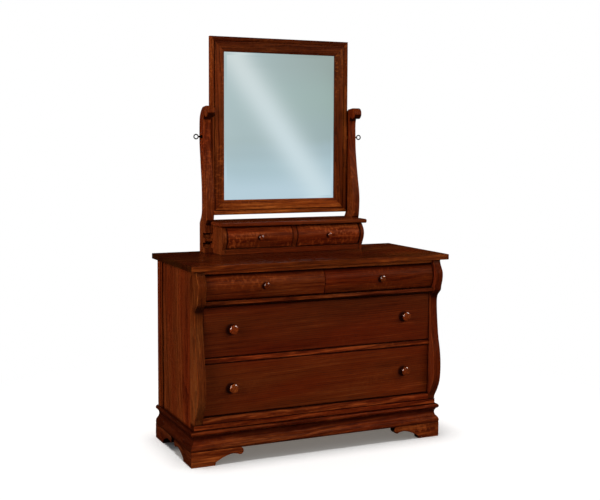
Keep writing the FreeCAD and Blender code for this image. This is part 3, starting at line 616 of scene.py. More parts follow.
def eased(points, radius, steps=3, wanted=None):
    """The outline with its sharp corners rounded to a small radius."""
    result = []
    count = len(points)
    for i, point in enumerate(points):
        before, after = points[i - 1], points[(i + 1) % count]
        turn = abs(turn_at(before, point, after))
        if turn < math.radians(25) or (wanted and not wanted(point)):
            result.append(point)
            continue
        reach = radius * math.tan(turn / 2)
        reach = min(reach, (point - before).length * 0.45, (after - point).length * 0.45)
        start = point + (before - point).normalized() * reach
        end = point + (after - point).normalized() * reach
        for k in range(steps + 1):
            t = k / steps
            result.append(start * (1 - t) ** 2 + point * (2 * t * (1 - t)) + end * t ** 2)
    return result


def inset(points, distance, share):
    """The outline with each side moved inward by its share of a distance."""
    count = len(points)
    moves = []
    normals = []
    for i, point in enumerate(points):
        after = points[(i + 1) % count]
        way = (after - point).normalized()
        normals.append(Vector((-way.y, way.x)))
        moves.append(distance * share((point + after) / 2))
    result = []
    for i, point in enumerate(points):
        n0, n1 = normals[i - 1], normals[i]
        d0, d1 = moves[i - 1], moves[i]
        cross = n0.x * n1.y - n0.y * n1.x
        if abs(cross) < 0.05:
            result.append(point + (n0 + n1).normalized() * (d0 + d1) / 2)
            continue
        result.append(point + Vector(((d0 * n1.y - d1 * n0.y) / cross, (n0.x * d1 - n1.x * d0) / cross)))
    return result


def area(points):
    return sum(a.x * b.y - b.x * a.y for a, b in zip(points, points[1:] + points[:1])) / 2


def flat(*pairs):
    return [Vector(pair) for pair in pairs]


def rectangle(u0, u1, v0, v1):
    return flat((u0, v0), (u1, v0), (u1, v1), (u0, v1))


def smooth_curve(points, steps=6):
    """A smooth curve through the points."""
    points = flat(*points)
    result = []
    last = len(points) - 1
    for i, (p1, p2) in enumerate(zip(points, points[1:])):
        p0, p3 = points[max(i - 1, 0)], points[min(i + 2, last)]
        a = math.sqrt(max((p1 - p0).length, 1e-6))
        b = math.sqrt((p2 - p1).length)
        c = math.sqrt(max((p3 - p2).length, 1e-6))
        m1 = (p2 - p0) * (b / (a + b)) if i else p2 - p1
        m2 = (p3 - p1) * (b / (b + c)) if i < last - 1 else p2 - p1
        for k in range(steps):
            s = k / steps
            result.append(
                p1 * (2 * s ** 3 - 3 * s ** 2 + 1) + m1 * (s ** 3 - 2 * s ** 2 + s)
                + p2 * (3 * s ** 2 - 2 * s ** 3) + m2 * (s ** 3 - s ** 2)
            )
    result.append(points[-1])
    return result


def arc(centre, radius, start, end, steps=10):
    """Points on an arc, from one turn in degrees to another."""
    centre = Vector(centre)
    result = []
    for k in range(steps + 1):
        angle = math.radians(start + (end - start) * k / steps)
        result.append(centre + Vector((math.cos(angle), math.sin(angle))) * radius)
    return result


def arc_through(a, b, c, steps=10):
    """Points on the arc from a through b to c."""
    a, b, c = Vector(a), Vector(b), Vector(c)
    d = 2 * (a.x * (b.y - c.y) + b.x * (c.y - a.y) + c.x * (a.y - b.y))
    ux = (a.dot(a) * (b.y - c.y) + b.dot(b) * (c.y - a.y) + c.dot(c) * (a.y - b.y)) / d
    uy = (a.dot(a) * (c.x - b.x) + b.dot(b) * (a.x - c.x) + c.dot(c) * (b.x - a.x)) / d
    centre = Vector((ux, uy))
    start = math.atan2(a.y - uy, a.x - ux)
    middle = math.atan2(b.y - uy, b.x - ux)
    end = math.atan2(c.y - uy, c.x - ux)
    while middle < start:
        middle += 2 * math.pi
    while end < start:
        end += 2 * math.pi
    if middle > end:
        end -= 2 * math.pi
    return arc(centre, (a - centre).length, math.degrees(start), math.degrees(end), steps)


def rounded(radius, steps):
    """Pairs of inset and depth that round a rim."""
    turns = [math.pi / 2 * i / steps for i in range(steps + 1)]
    return [(radius * (1 - math.sin(turn)), radius * (1 - math.cos(turn))) for turn in turns]


def in_order(points):
    """The outline, running counterclockwise."""
    return points[::-1] if area(points) < 0 else points


class Piece:
    """Collects vertices and faces, then becomes one object of the scene."""

    def __init__(self):
        self.vertices = []
        self.faces = []

    def rings(self, rings, ends=True, looped=False):
        """Skins a list of rings with as many points each."""
        base = len(self.vertices)
        size = len(rings[0])
        for ring in rings:
            self.vertices += ring
        count = len(rings)
        for r in range(count if looped else count - 1):
            low, high = base + r * size, base + (r + 1) % count * size
            for i in range(size):
                j = (i + 1) % size
                self.faces.append((low + i, low + j, high + j, high + i))
        if ends and not looped:
            self.faces.append(tuple(range(base + size - 1, base - 1, -1)))
            end = base + (count - 1) * size
            self.faces.append(tuple(range(end, end + size)))
        return self

    def slab(self, points, axis, start, end, radius=0.0, share=None, steps=3):
        """A board cut to an outline, with the rims of both faces rounded by share of a radius."""
        points = in_order(points)
        share = share or (lambda middle: 1.0)
        start, end = sorted((start, end))
        place = PLACERS[axis]
        levels = rounded(radius, steps) if radius else [(0.0, 0.0)]
        rings = []
        for distance, along in levels:
            rings.append([place(p.x, p.y, start + along) for p in inset(points, distance, share)])
        for distance, along in reversed(levels):
            rings.append([place(p.x, p.y, end - along) for p in inset(points, distance, share)])
        return self.rings(rings)

    def board(self, x, depth, height, axis="X", radius=1.5, ends=1.0):
        """A rectangular board along an axis; ends is the share of the radius on its two ends."""
        spans = {"X": (depth, height, x), "Y": (x, height, depth), "Z": (x, depth, height)}[axis]
        (u0, u1), (v0, v1), (t0, t1) = [sorted(span) for span in spans]
        return self.slab(eased(rectangle(u0, u1, v0, v1), radius), axis, t0, t1, radius * ends)

    def turned(self, profile, centre, axis, segments=40, hollow=False):
        """A turned form: the profile gives pairs of distance along the axis and radius."""
        axis = Vector(axis).normalized()
        side = Vector((0, 0, 1)) if abs(axis.z) < 0.9 else Vector((1, 0, 0))
        u = axis.cross(side).normalized()
        v = axis.cross(u)
        rings = []
        for along, radius in profile:
            ring = []
            for k in range(segments):
                angle = 2 * math.pi * k / segments
                out = u * math.cos(angle) + v * math.sin(angle)
                ring.append(centre + axis * along + out * max(radius, 0.01))
            rings.append(ring)
        self.rings(rings, looped=hollow)

    def mirrored(self):
        """The same piece on the other side of the middle."""
        other = Piece()
        other.vertices = [Vector((-v.x, v.y, v.z)) for v in self.vertices]
        other.faces = [face[::-1] for face in self.faces]
        return other

    def join(self, other):
        base = len(self.vertices)
        self.vertices += other.vertices
        self.faces += [tuple(base + i for i in face) for face in other.faces]
        return self

    def stained(self, name, nodes, along, seed, where=None, body="chest", **finish):
        """Makes the object in oak, with painted shade on the faces that where picks."""
        material = oak(along, seed, **finish)
        others = [painted_shaded(along, seed)] if where else ()
        return self.build(name, material, body, nodes, others=others, where=where)

    def build(self, name, material, body="chest", nodes=(), others=(), where=None):
        """Makes the object; where tells each face's material, 0 or later, from its middle and normal."""
        mesh = bpy.data.meshes.new(name)
        mesh.from_pydata([tuple(v * MM) for v in self.vertices], [], self.faces)
        work = bmesh.new()
        work.from_mesh(mesh)
        bmesh.ops.recalc_face_normals(work, faces=work.faces)
        work.to_mesh(mesh)
        work.free()
        mesh.polygons.foreach_set("use_smooth", [True] * len(mesh.polygons))
        mesh.set_sharp_from_angle(angle=math.radians(38))
        for each in (material, *others):
            mesh.materials.append(each)
        for face in mesh.polygons if where else ():
            x, y, z = face.center * 1000
            face.material_index = int(where(Vector((x, BACK - y, z)), face.normal))
        obj = linked(name, mesh)
        normals = obj.modifiers.new("even_normals", "WEIGHTED_NORMAL")
        normals.keep_sharp = True
        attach(obj, body)
        if nodes:
            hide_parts(*nodes)
        return obj


# Sizes of the dresser
TOP_DEPTH, TOP_HALF = 560.0, 622.5
CASE_DEPTH, CASE_HALF = 498.0, 592.0
POST_WIDTH, POST_BACK, POST_SWELL = 38.0, 452.0, 61.0
POST_INNER = CASE_HALF - POST_WIDTH
FOOT_TOP, BASE_TOP, SILL_HIGH = 66.0, 153.0, 178.0
FOOT_THICKNESS, FOOT_RIM, FOOT_CORNER = 38.0, 2.0, 2.5
LOWER_RAIL = (178.0, 209.0)
MIDDLE_RAIL = (438.0, 461.0)
UPPER_RAIL = (680.0, 707.0)
TOP_RAIL = (820.0, 836.0)
CHEST_TOP = 861.0
BASE_HALF, BASE_FRONT = 609.0, 512.0
BOX_HALF, BOX_INNER = 357.5, 337.5
BOX_FLOOR_TOP, SHELF_LOW, SHELF_HIGH = 886.0, 988.0, 1007.0
BOX_ROOT, BOX_SWELL = 203.0, 24.0
HARP_WIDTH, HARP_REACH, HARP_HIGH = 36.5, 109.0, 548.0
HARP_OUTER = BOX_HALF + HARP_WIDTH
MIRROR_HALF, MIRROR_LOW, MIRROR_HIGH = 355.0, 1031.0, 1857.0
FRAME_BACK, FRAME_FIELD, FRAME_WIDTH = 28.0, 48.0, 69.0
PIVOT_DEPTH, PIVOT_HEIGHT = 39.0, 1395.0

SIDE_THICK, SIDE_GROOVE, GROOVE_DEEP = 20.0, (57.0, 74.0), 6.0
STILE_DEEP, STILE_PROUD = 38.0, 5.0
CASE_HEIGHT = (BASE_TOP, TOP_RAIL[1])
WIDE_FRONT, WIDE_PULLS = 504.0, (-421.0, 421.0)
SMALL_FRONT, SMALL_SWELL, SMALL_PULL = 541.0, 23.0, 281.0
COVE_HEIGHT = 122.0
FOOT_PAD, LOBE, LOBE_RADIUS = 108.0, (222.5, 50.5), 15.5

# Curves, as shares of a height and of a swell
POST_LOWER = [
    (0.0, 0.0), (0.034, 0.07), (0.094, 0.41), (0.183, 0.74), (0.283, 0.85), (0.392, 0.83),
    (0.482, 0.72), (0.602, 0.48), (0.761, 0.30), (0.900, 0.21), (0.960, 0.26), (0.990, 0.40),
]
POST_UPPER = [
    (0.040, 0.62), (0.109, 0.76), (0.224, 0.82), (0.353, 0.93), (0.481, 1.0), (0.622, 0.99),
    (0.724, 0.88), (0.865, 0.66), (1.0, 0.57),
]
PILLOW = [(0.0, 0.26), (0.14, 0.60), (0.32, 0.90), (0.50, 1.0), (0.68, 0.90), (0.84, 0.55), (1.0, 0.0)]
BOX_FRONT = [(0.0, 0.12), (0.17, 0.50), (0.34, 0.86), (0.52, 1.0), (0.70, 0.86), (0.86, 0.42), (1.0, -0.12)]
KNOB = [(0.0, 0.60), (0.10, 0.56), (0.26, 0.40), (0.42, 0.46), (0.58, 0.86), (0.74, 1.0), (0.88, 0.92)]
KNOB_CROWN = [(0.035, 0.06), (0.060, 0.15), (0.080, 0.27), (0.096, 0.42), (0.108, 0.58), (0.116, 0.74)]
HARP_FRONT = [
    (0.0, 0.80), (0.031, 0.915), (0.077, 0.968), (0.135, 0.99), (0.201, 1.0), (0.277, 0.955), (0.325, 0.90),
    (0.431, 0.78), (0.538, 0.68), (0.648, 0.595), (0.765, 0.569), (0.854, 0.563), (0.900, 0.61),
]
HARP_BACK = [
    (0.012, 0.05), (0.035, 0.13), (0.070, 0.26), (0.115, 0.335), (0.208, 0.345), (0.296, 0.33),
    (0.387, 0.284), (0.478, 0.211), (0.569, 0.147), (0.639, 0.085), (0.708, 0.052), (0.800, 0.052),
    (0.883, 0.073), (0.916, 0.118), (0.958, 0.250), (0.991, 0.459),
]


def between(low, high, share):
    return low + share * (high - low)


def face_outline(front, low, high, back, radius=2.4):
    """The side outline of a drawer face: its front points, then its flat back."""
    return eased(front + flat((back, high), (back, low)), radius)


def knob(piece, x, front, height, diameter, reach):
    """A turned knob: a waist, a round rim and a slightly crowned face."""
    length = reach + 1.0
    radius = diameter / 2
    profile = [(p.x * length, p.y * radius) for p in smooth_curve(KNOB, 5)]
    edge = profile[-1]
    profile += [(edge[0] + out * length, edge[1] - inward * radius) for out, inward in KNOB_CROWN]
    profile += [(length, 0.0)]
    piece.turned(profile, at(x, front - 1.0, height), (0, -1, 0), 44)


def add_pulls(name, body, node, xs, front, height, size, seed, neck_end, **finish):
    """The knobs of a drawer, of one diameter and reach, with painted shade on them as far as the end of the
    neck.
    """
    pulls = Piece()
    for x in xs:
        knob(pulls, x, front, height, *size)
    turned.objects.link(pulls.stained(
        name, [node], "Y", seed, lambda m, n: m.y < neck_end, body,
        rough=0.09, sheen=(1.0, 0.9, 0.85), **finish,
    ))


def not_front(middle, normal):
    return normal.y > -0.8


# Top board
top = Piece()
outline = eased(rectangle(-TOP_HALF, TOP_HALF, 0.0, TOP_DEPTH), 4.5, 4, lambda p: p.y > 1.0)
top.slab(outline, "Z", TOP_RAIL[1], CHEST_TOP, 3.0, lambda middle: 0.3 if middle.y < 1.0 else 1.0, 4)
# The top surface is painted darker than its front edge, painted shade for less light from above, and lighter
# towards the right, a painted sheen; contact shadows are painted round the box and the harp posts.
front_oak = oak("X", 61, tone=(1.02, 1.25, 0.95), figure=2.0, fade=("X", 0.0, 450.0, (1.1, 0.95, 0.95)))
top.build(
    "top",
    oak(
        "X", 1, tone=(0.56, 0.50, 0.44), contacts=[(BOX_HALF, BOX_ROOT), (HARP_OUTER, 0.8 * HARP_REACH)],
        fade=("X", 150.0, 480.0, (1.95, 2.5, 2.3)),
    ),
    nodes=["top_board"], others=[end_grain("X", 1), front_oak],
    where=lambda m, n: 1 if abs(n.x) > 0.5 else 2 if n.y < -0.5 else 0,
)

# Case sides and back stiles
stiles = Piece()
for side, sign in SIDES:
    panel = Piece()
    x = (sign * CASE_HALF, sign * (CASE_HALF - SIDE_THICK))
    panel.board(x, (SIDE_GROOVE[1], POST_BACK), CASE_HEIGHT, "Z", 1.5, 0.0)
    panel.board(x, (STILE_DEEP, SIDE_GROOVE[0]), CASE_HEIGHT, "Z", 1.0, 0.0)
    x = (sign * (CASE_HALF - GROOVE_DEEP), sign * (CASE_HALF - SIDE_THICK))
    panel.board(x, SIDE_GROOVE, CASE_HEIGHT, "Z", 0.6, 0.0)
    # Painted shade in the groove by the stile, on the bottom edge and in a band where the panel meets the
    # moulding.
    panel.stained(
        "side_" + side, ["side_panel_" + side], "Z", 2,
        lambda m, n: SIDE_GROOVE[0] - 1.0 < m.y < SIDE_GROOVE[1] + 0.5 or m.z < BASE_TOP + 0.1,
        tone=(0.90, 0.90, 0.85), shades=[("Z", BASE_TOP, 8.0, 0.8)],
    )
    x = (sign * (CASE_HALF + STILE_PROUD), sign * (CASE_HALF - 25.0))
    stiles.board(x, (0.0, STILE_DEEP), CASE_HEIGHT, "Z", 1.5, 0.0)
stiles.stained("rear_stiles", ["back_stiles"], "Z", 3)

# Front posts
curve = [(CASE_DEPTH + s * POST_SWELL, between(SILL_HIGH, UPPER_RAIL[0], h)) for h, s in POST_LOWER]
curve += [(CASE_DEPTH + s * POST_SWELL, between(UPPER_RAIL[0], TOP_RAIL[1], h)) for h, s in POST_UPPER]
outline = smooth_curve(curve) + flat((POST_BACK, TOP_RAIL[1]), (POST_BACK, SILL_HIGH))
for side, sign in SIDES:
    post = Piece()
    post.slab(
        outline, "X", sign * CASE_HALF, sign * POST_INNER, 3.0,
        lambda m: float(m.x > CASE_DEPTH), 4,
    )
    seed, tone = (4, (0.88, 1.12, 1.0)) if side == "left" else (44, (0.80, 0.78, 0.76))
    # Painted shade: a band under the bulge on the front, and thin bands at the sill and under the top.
    painted_neck_shade = [("Z", 665.0, 28.0, 0.88, CASE_DEPTH + 11.0)]
    painted_neck_shade += [("Z", SILL_HIGH, 5.0, 0.7), ("Z", TOP_RAIL[1], 6.0, 0.6)]
    # Lighter copies: on the right post's inner face, painted light, and on the rounded front arris, a painted
    # highlight.
    inner = oak("Z", seed + 20, tone=(1.2, 1.0, 1.35), gloss=0.08, shades=painted_neck_shade)
    wear_and_highlight = oak("Z", seed + 70, tone=tuple(1.5 * c for c in tone), gloss=0.08, shades=painted_neck_shade)
    fade = ("Z", 640.0, 560.0, (1.2, 1.55, 1.9)) if sign < 0 else None
    post.build(
        "post_" + side, oak("Z", seed, tone=tone, gloss=0.08, shades=painted_neck_shade, fade=fade),
        nodes=["front_post_" + side], others=[wear_and_highlight, inner],
        where=lambda m, n: 2 if sign > 0 and n.x < -0.97 else 0.3 < abs(n.x) < 0.97 and n.y < 0.3,
    )

# Rails
# Painted shade on faces that don't face forward and along the top and bottom rims, in the joints.
Piece().board((-CASE_HALF, CASE_HALF), (POST_BACK, 500.0), (BASE_TOP, SILL_HIGH), "X", 2.0, 0.3).stained(
    "sill", ["base_sill"], "X", 5, not_front,
    figure=2.2, tone=1.2, rim=(None, None, BASE_TOP + 1, SILL_HIGH),
)
for name, (low, high), front, seed in (
    ("lower_rail", LOWER_RAIL, 503.0, 6), ("middle_rail", MIDDLE_RAIL, 506.0, 7),
):
    Piece().board((-POST_INNER, POST_INNER), (POST_BACK, front), (low, high), "X", 1.8, 0.0).stained(
        name + "_face", [name], "X", seed, not_front, figure=3.0, tone=1.35, rim=(None, None, low, high),
    )
low, high = UPPER_RAIL
nose = flat((POST_BACK, high), (536.0, high)) + arc((536.0, high - 2.0), 2.0, 90, 0, 3)
nose += smooth_curve([(538.0, 692.0), (528.04, 683.51), (504.0, low)], 8) + flat((POST_BACK, low))
# Painted shade on the shoulder's lower and upper faces and in a band along its lower edge.
Piece().slab(nose, "X", -POST_INNER, POST_INNER).stained(
    "shoulder_rail", ["upper_rail"], "X", 8, lambda m, n: n.z < -0.55 or n.z > 0.5, figure=2.2,
    tone=(0.92, 1.05, 1.0), shades=[("Z", low, 3.0, 0.6)], fade=("X", -200.0, 250.0, (0.74, 0.55, 0.7)),
)
# The head rail is painted several times lighter, painted light where the overhang of the top shades it, with
# painted shade along its lower edge and its hidden faces.
Piece().board((-POST_INNER, POST_INNER), (485.0, 525.0), TOP_RAIL, "X", 1.5, 0.0).stained(
    "head_rail", ["top_rail"], "X", 9, not_front, tone=(3.2, 4.2, 3.6), shades=[("Z", TOP_RAIL[0], 2.0, 0.8)],
)

# Wide drawers
half = POST_INNER - 2.0
for name, (low, high), lean, rise, seed in (
    ("lower_drawer", (LOWER_RAIL[1] + 2.0, MIDDLE_RAIL[0] - 2.0), 8.0, 3.0, 11),
    ("upper_drawer", (MIDDLE_RAIL[1] + 2.0, UPPER_RAIL[0] - 2.0), 0.0, 9.0, 12),
):
    middle = (low + high) / 2
    ends = (WIDE_FRONT - lean, low), (WIDE_FRONT - lean / 4, middle), (WIDE_FRONT, high)
    face_line = arc_through(*ends, 24) if lean else flat(*ends)
    face = Piece()
    face.slab(face_outline(face_line, low, high, 484.0), "X", -half, half, 1.6)
    # Painted shadows: a dark spot beside each knob, a little to the left and below, and painted shade along
    # the rims of the face and on its hidden faces, in the joints.
    spots = [(x - 5.0, WIDE_FRONT - lean / 4, middle + rise - 2.0, 27.0) for x in WIDE_PULLS]
    tone = (0.84, 0.80, 0.86) if name == "upper_drawer" else (1.0, 1.05, 1.05)
    face.stained(
        name + "_front", [name + "_face"], "X", seed, not_front, name,
        figure=0.6, flecks=0.4, tone=tone, rim=(None, half, low, high), spots=spots,
    )
    add_pulls(
        name + "_pulls", name, name + "_knobs", WIDE_PULLS, WIDE_FRONT - lean / 4, middle + rise,
        (40.0, 30.0), 13, 520.0, tone=(1.5, 1.75, 1.5), gloss=0.6,
    )

# Small drawers
low, high = UPPER_RAIL[1] + 2.0, TOP_RAIL[0] - 2.0
for side, sign in SIDES:
    body = "small_drawer_" + side
    root = SMALL_FRONT - SMALL_SWELL
    face_line = smooth_curve([(root + s * SMALL_SWELL, between(low, high, h)) for h, s in PILLOW])
    face = Piece()
    face.slab(face_outline(face_line, low, high, 500.0), "X", sign * half, sign * 1.5, 1.0)
    middle = (low + high) / 2
    # Painted shadows: a spot beside the knob, a little to the left and below; painted shade in bands at the
    # top and bottom of the face, along its rims and on its hidden faces.
    spots = [(x - 3.5, SMALL_FRONT, middle - 1.5, 18.0) for x in (-SMALL_PULL, SMALL_PULL)]
    seed, flecks, tone = (84, 2.1, (0.97, 0.96, 0.9)) if side == "left" else (54, 1.5, (0.87, 0.77, 0.6))
    edges = [("Z", high - 2.0, 8.0, 0.95), ("Z", low + 1.0, 4.0, 0.7)]
    face.stained(
        body + "_front", ["small_drawer_face_" + side], "X", seed,
        lambda m, n: n.y > -0.5 and abs(m.x) > 10.0, body, figure=1.3, flecks=flecks, tone=tone,
        rim=(None, half, low, high), reach=8.0, spots=spots, shades=edges,
    )
    add_pulls(
        body + "_pull", body, "small_drawer_knob_" + side, [sign * SMALL_PULL], SMALL_FRONT, middle,
        (28.0, 18.5), 15, 550.0, tone=(1.0, 1.1, 0.9), gloss=0.6,
    )


# Base moulding
def moulding_section():
    """Pairs of inset and height, round the section."""
    points = flat((14.0, BASE_TOP), (8.0, BASE_TOP))
    points += arc_through((8.0, BASE_TOP), (0.0, 143.0), (8.0, 133.0), 12)[1:]
    points += arc_through((8.0, 133.0), (16.0, 111.92), (12.0, 99.0), 12)[1:]
    points += arc_through((12.0, 99.0), (3.12, 88.6), (0.0, 73.0), 10)[1:]
    return points + flat((1.5, 73.0), (1.5, FOOT_TOP), (36.0, FOOT_TOP), (36.0, BASE_TOP))


def moulding_end(sign, depth=None):
    """One end of a moulding bar: at the mitre, or square at a depth."""
    return [at(sign * (BASE_HALF - p.x), BASE_FRONT - p.x if depth is None else depth, p.y) for p in section]


section = moulding_section()
front = Piece()
front.rings([moulding_end(-1), moulding_end(1)])
# Painted shade in the cove, at the foot line and on the upward faces; on the front also along its top under
# the sill.
shades = [("Z", COVE_HEIGHT, 12.0, 0.72), ("Z", BASE_TOP, 3.0, 0.6), ("Z", FOOT_TOP, 5.0, 0.85)]
front.stained(
    "moulding_front", ["base_moulding_front"], "X", 16, lambda m, n: n.z > 0.9,
    figure=2.4, tone=0.88, shades=shades,
)
for side, sign in SIDES:
    bar = Piece()
    bar.rings([moulding_end(sign), moulding_end(sign, 0.0)])
    shades = [("Z", COVE_HEIGHT, 12.0, 0.6), ("Z", FOOT_TOP, 4.0, 0.8)]
    bar.stained(
        "moulding_" + side, ["base_moulding_" + side], "Y", 17, lambda m, n: n.z > 0.9,
        tone=(0.34, 0.38, 0.5), shades=shades,
    )


# Bracket feet
def bracket_outline():
    """Pairs of run from the corner and height: pad, heel, cove, round lobe."""
    join = arc(LOBE, LOBE_RADIUS, 228, 228, 1)[0]
    cove = smooth_curve([(111.0, 13.0), (144.0, 30.5), (183.0, 42.0), tuple(join)], 8)
    points = flat((0.0, FOOT_TOP), (0.0, 0.0), (FOOT_PAD, 0.0)) + cove
    return points + arc(LOBE, LOBE_RADIUS, 228, 450, 18)[1:]


def free_edge(middle):
    """1 on the edges of a foot board that meet neither the corner nor the moulding."""
    return float(middle.x > 0.01 and middle.y < FOOT_TOP - 0.01)


def mitred_board(place):
    """A foot board: its run-0 edge follows the mitre, and its front rim is rounded."""
    points = in_order(bracket)
    rings = []
    for distance, along in rounded(FOOT_RIM, 4) + [(0.0, FOOT_THICKNESS)]:
        start = along
        if along < FOOT_CORNER:
            start = max(along, FOOT_CORNER - math.sqrt(FOOT_CORNER ** 2 - (FOOT_CORNER - along) ** 2))
        moved = inset(points, distance, free_edge)
        rings.append([place(start if p.x < 0.01 else p.x, along, p.y) for p in moved])
    return rings


bracket = bracket_outline()
boards = Piece()
boards.rings(mitred_board(lambda run, along, height: at(-BASE_HALF + run, BASE_FRONT - along, height)))
boards.join(boards.mirrored())
# The cut edges of the front boards under the base are painted nearly black, as deep shade.
boards.build(
    "foot_fronts",
    oak("X", 18, figure=2.4, flecks=2.0, tone=(1.7, 2.5, 2.5), fade=("X", -200.0, 300.0, (0.72, 0.55, 0.5))),
    nodes=["foot_front_boards"],
    others=[shaded("X", 18)], where=lambda m, n: n.y > -0.4 and m.y < BASE_FRONT - 1.0,
)
boards = Piece()
boards.rings(mitred_board(lambda run, along, height: at(-BASE_HALF + along, BASE_FRONT - run, height)))
boards.slab(bracket, "X", -BASE_HALF, -BASE_HALF + FOOT_THICKNESS, 1.5, free_edge)
boards.join(boards.mirrored())
# The same painted deep shade on the side boards' cut edges.
boards.build(
    "foot_sides", oak("Y", 19, figure=1.2, tone=(0.54, 0.62, 0.8)),
    nodes=["foot_side_boards"], others=[shaded("Y", 19)],
    where=lambda m, n: abs(n.x) < 0.4 and abs(m.x) < BASE_HALF - 1.0 and m.y > 1.0,
)

# Mirror box
box_line = [(BOX_ROOT + s * BOX_SWELL, between(BOX_FLOOR_TOP, SHELF_LOW, h)) for h, s in BOX_FRONT]
outline = flat((6.0, CHEST_TOP), (BOX_ROOT, CHEST_TOP), (BOX_ROOT, BOX_FLOOR_TOP - 0.5))
outline += smooth_curve(box_line) + flat((6.0, SHELF_LOW))
ends = Piece()
ends.slab(outline, "X", -BOX_HALF, -BOX_INNER, 1.8, lambda m: float(m.x > BOX_ROOT - 3.0))
ends.join(ends.mirrored())
# Painted shade along the inner edge of each end, beside the drawers.
ends.stained("box_sides", ["box_ends"], "Z", 21, rim=(BOX_INNER - 1.0, None, None, None), reach=7.0)
floor_board = Piece()
floor_board.board((-BOX_INNER, BOX_INNER), (6.0, BOX_ROOT), (CHEST_TOP, BOX_FLOOR_TOP), "X", 1.5, 0.0)
# Painted shade on the box floor's faces that don't face forward.
floor_board.stained("box_base", ["box_floor"], "X", 22, lambda m, n: n.y > -0.9, tone=0.8)
divider = Piece()
line = smooth_curve([(depth - 4.0, height) for depth, height in box_line])
divider.slab(
    line + flat((16.0, SHELF_LOW), (16.0, BOX_FLOOR_TOP)), "X", -10.0, 10.0, 1.8,
    lambda m: float(m.x > BOX_ROOT - 8.0),
)
divider.stained("box_middle", ["box_divider"], "Z", 23)

# Shelf on the box, with ears in front of the harp posts and a round nose
ear_back = 0.958 * HARP_REACH
shelf_front = BOX_ROOT + BOX_SWELL + 2.0
shelf_half = BOX_HALF + 15.5
outline = flat(
    (-BOX_HALF, 6.0), (BOX_HALF, 6.0), (BOX_HALF, ear_back), (shelf_half, ear_back),
    (shelf_half, shelf_front), (-shelf_half, shelf_front), (-shelf_half, ear_back), (-BOX_HALF, ear_back),
)
outline = eased(outline, 10.0, 5, lambda p: p.y > shelf_front - 1.0)
# Painted shade on the shelf's underside.
Piece().slab(
    outline, "Z", SHELF_LOW, SHELF_HIGH, 7.0,
    lambda m: float(m.y > ear_back + 1.0 and abs(m.x) > BOX_HALF + 1.0 or m.y > shelf_front - 1.0), 6,
).stained("shelf", ["box_shelf"], "X", 24, lambda m, n: n.z < -0.6)

# Drawers of the box
low, high = BOX_FLOOR_TOP + 1.5, SHELF_LOW - 1.5
face_line = smooth_curve([(BOX_ROOT + s * BOX_SWELL - 4.0, between(low, high, h)) for h, s in BOX_FRONT])
x0, x1 = BOX_INNER - 1.5, 11.5
middle = (low + high) / 2
box_front = BOX_ROOT + BOX_SWELL - 4.0
for side, sign in SIDES:
    body = "box_drawer_" + side
    face = Piece()
    face.slab(face_outline(face_line, low, high, 187.0), "X", sign * x0, sign * x1, 1.6)
    # Painted shadows: a spot beside the knob, a little to the left and below; painted shade along the rims
    # and on the hidden faces.
    spots = [(x - 2.5, box_front + 1.0, middle - 1.0, 14.0) for x in (-(x0 + x1) / 2, (x0 + x1) / 2)]
    face.stained(
        body + "_front", ["box_drawer_face_" + side], "X", 25, lambda m, n: n.y > -0.5, body,
        tone=1.35, figure=1.4, flecks=3.0, rim=(x1, x0, low, high), reach=7.0, spots=spots,
    )
    add_pulls(
        body + "_pull", body, "box_drawer_knob_" + side, [sign * (x0 + x1) / 2], box_front, middle,
        (21.0, 15.0), 26, 231.0, tone=(1.4, 1.6, 1.4), gloss=0.7,
    )


# Harp posts
def harp_outline():
    def up(shares):
        return [(s * HARP_REACH, SHELF_LOW + h * HARP_HIGH) for h, s in shares]

    plinth = 0.80 * HARP_REACH
    plinth_top, tongue_low, tongue_high, body_low = 882.0, 906.0, 927.0, 951.0
    notch = plinth - 37.0
    mouth = notch + 12.0
    tongue = plinth - 3.0
    head = (HARP_REACH - 13.0, SHELF_LOW + HARP_HIGH - 26.0)
    points = flat((0.05 * HARP_REACH, CHEST_TOP), (plinth, CHEST_TOP), (plinth, plinth_top))
    points += arc_through((mouth, plinth_top), (notch, 894.0), (mouth, tongue_low), 12)
    points += arc_through((tongue - 10.5, tongue_low), (tongue, 916.5), (tongue - 10.5, tongue_high), 12)
    points += arc_through((mouth, tongue_high), (notch, 939.0), (mouth, body_low), 12)
    points += flat((plinth, body_low))
    under = arc(head, 26.0, 217, 217, 1)[0]
    points += smooth_curve(up(HARP_FRONT) + [tuple(under)], 6)
    points += arc(head, 26.0, 217, 460, 26)[1:]
    back = smooth_curve(up(HARP_BACK), 6)
    return points + back[::-1]


outline = eased(harp_outline(), 3.0, 3, lambda p: p.y > CHEST_TOP + 1.0)
# Painted shade on the downward faces: under the scroll head and in the notches.
for side, sign in SIDES:
    Piece().slab(
        outline, "X", sign * HARP_OUTER, sign * BOX_HALF, 2.0,
        lambda m: float(m.y >= CHEST_TOP + 0.5), 4,
    ).stained(
        "harp_" + side, ["harp_post_" + side], "Z", 27, lambda m, n: n.z < -0.25 and abs(n.x) < 0.6,
        gloss=0.08, figure=1.5, flecks=2.0,
    )


# Mirror frame
def frame_section():
    """Pairs of inset from the outer edge and depth, round the section."""
    bead = arc_through((0.0, FRAME_FIELD), (10.0, FRAME_FIELD + 4.0), (20.0, FRAME_FIELD), 10)
    points = flat((0.0, FRAME_BACK), (0.0, FRAME_FIELD - 1.5)) + bead[1:]
    points += flat((20.0, FRAME_FIELD - 2.5), (23.5, FRAME_FIELD - 2.5), (23.5, FRAME_FIELD))
    points += flat((62.0, FRAME_FIELD), (FRAME_WIDTH, 45.0), (FRAME_WIDTH, 41.0))
    return points + flat((61.0, 41.0), (61.0, FRAME_BACK))


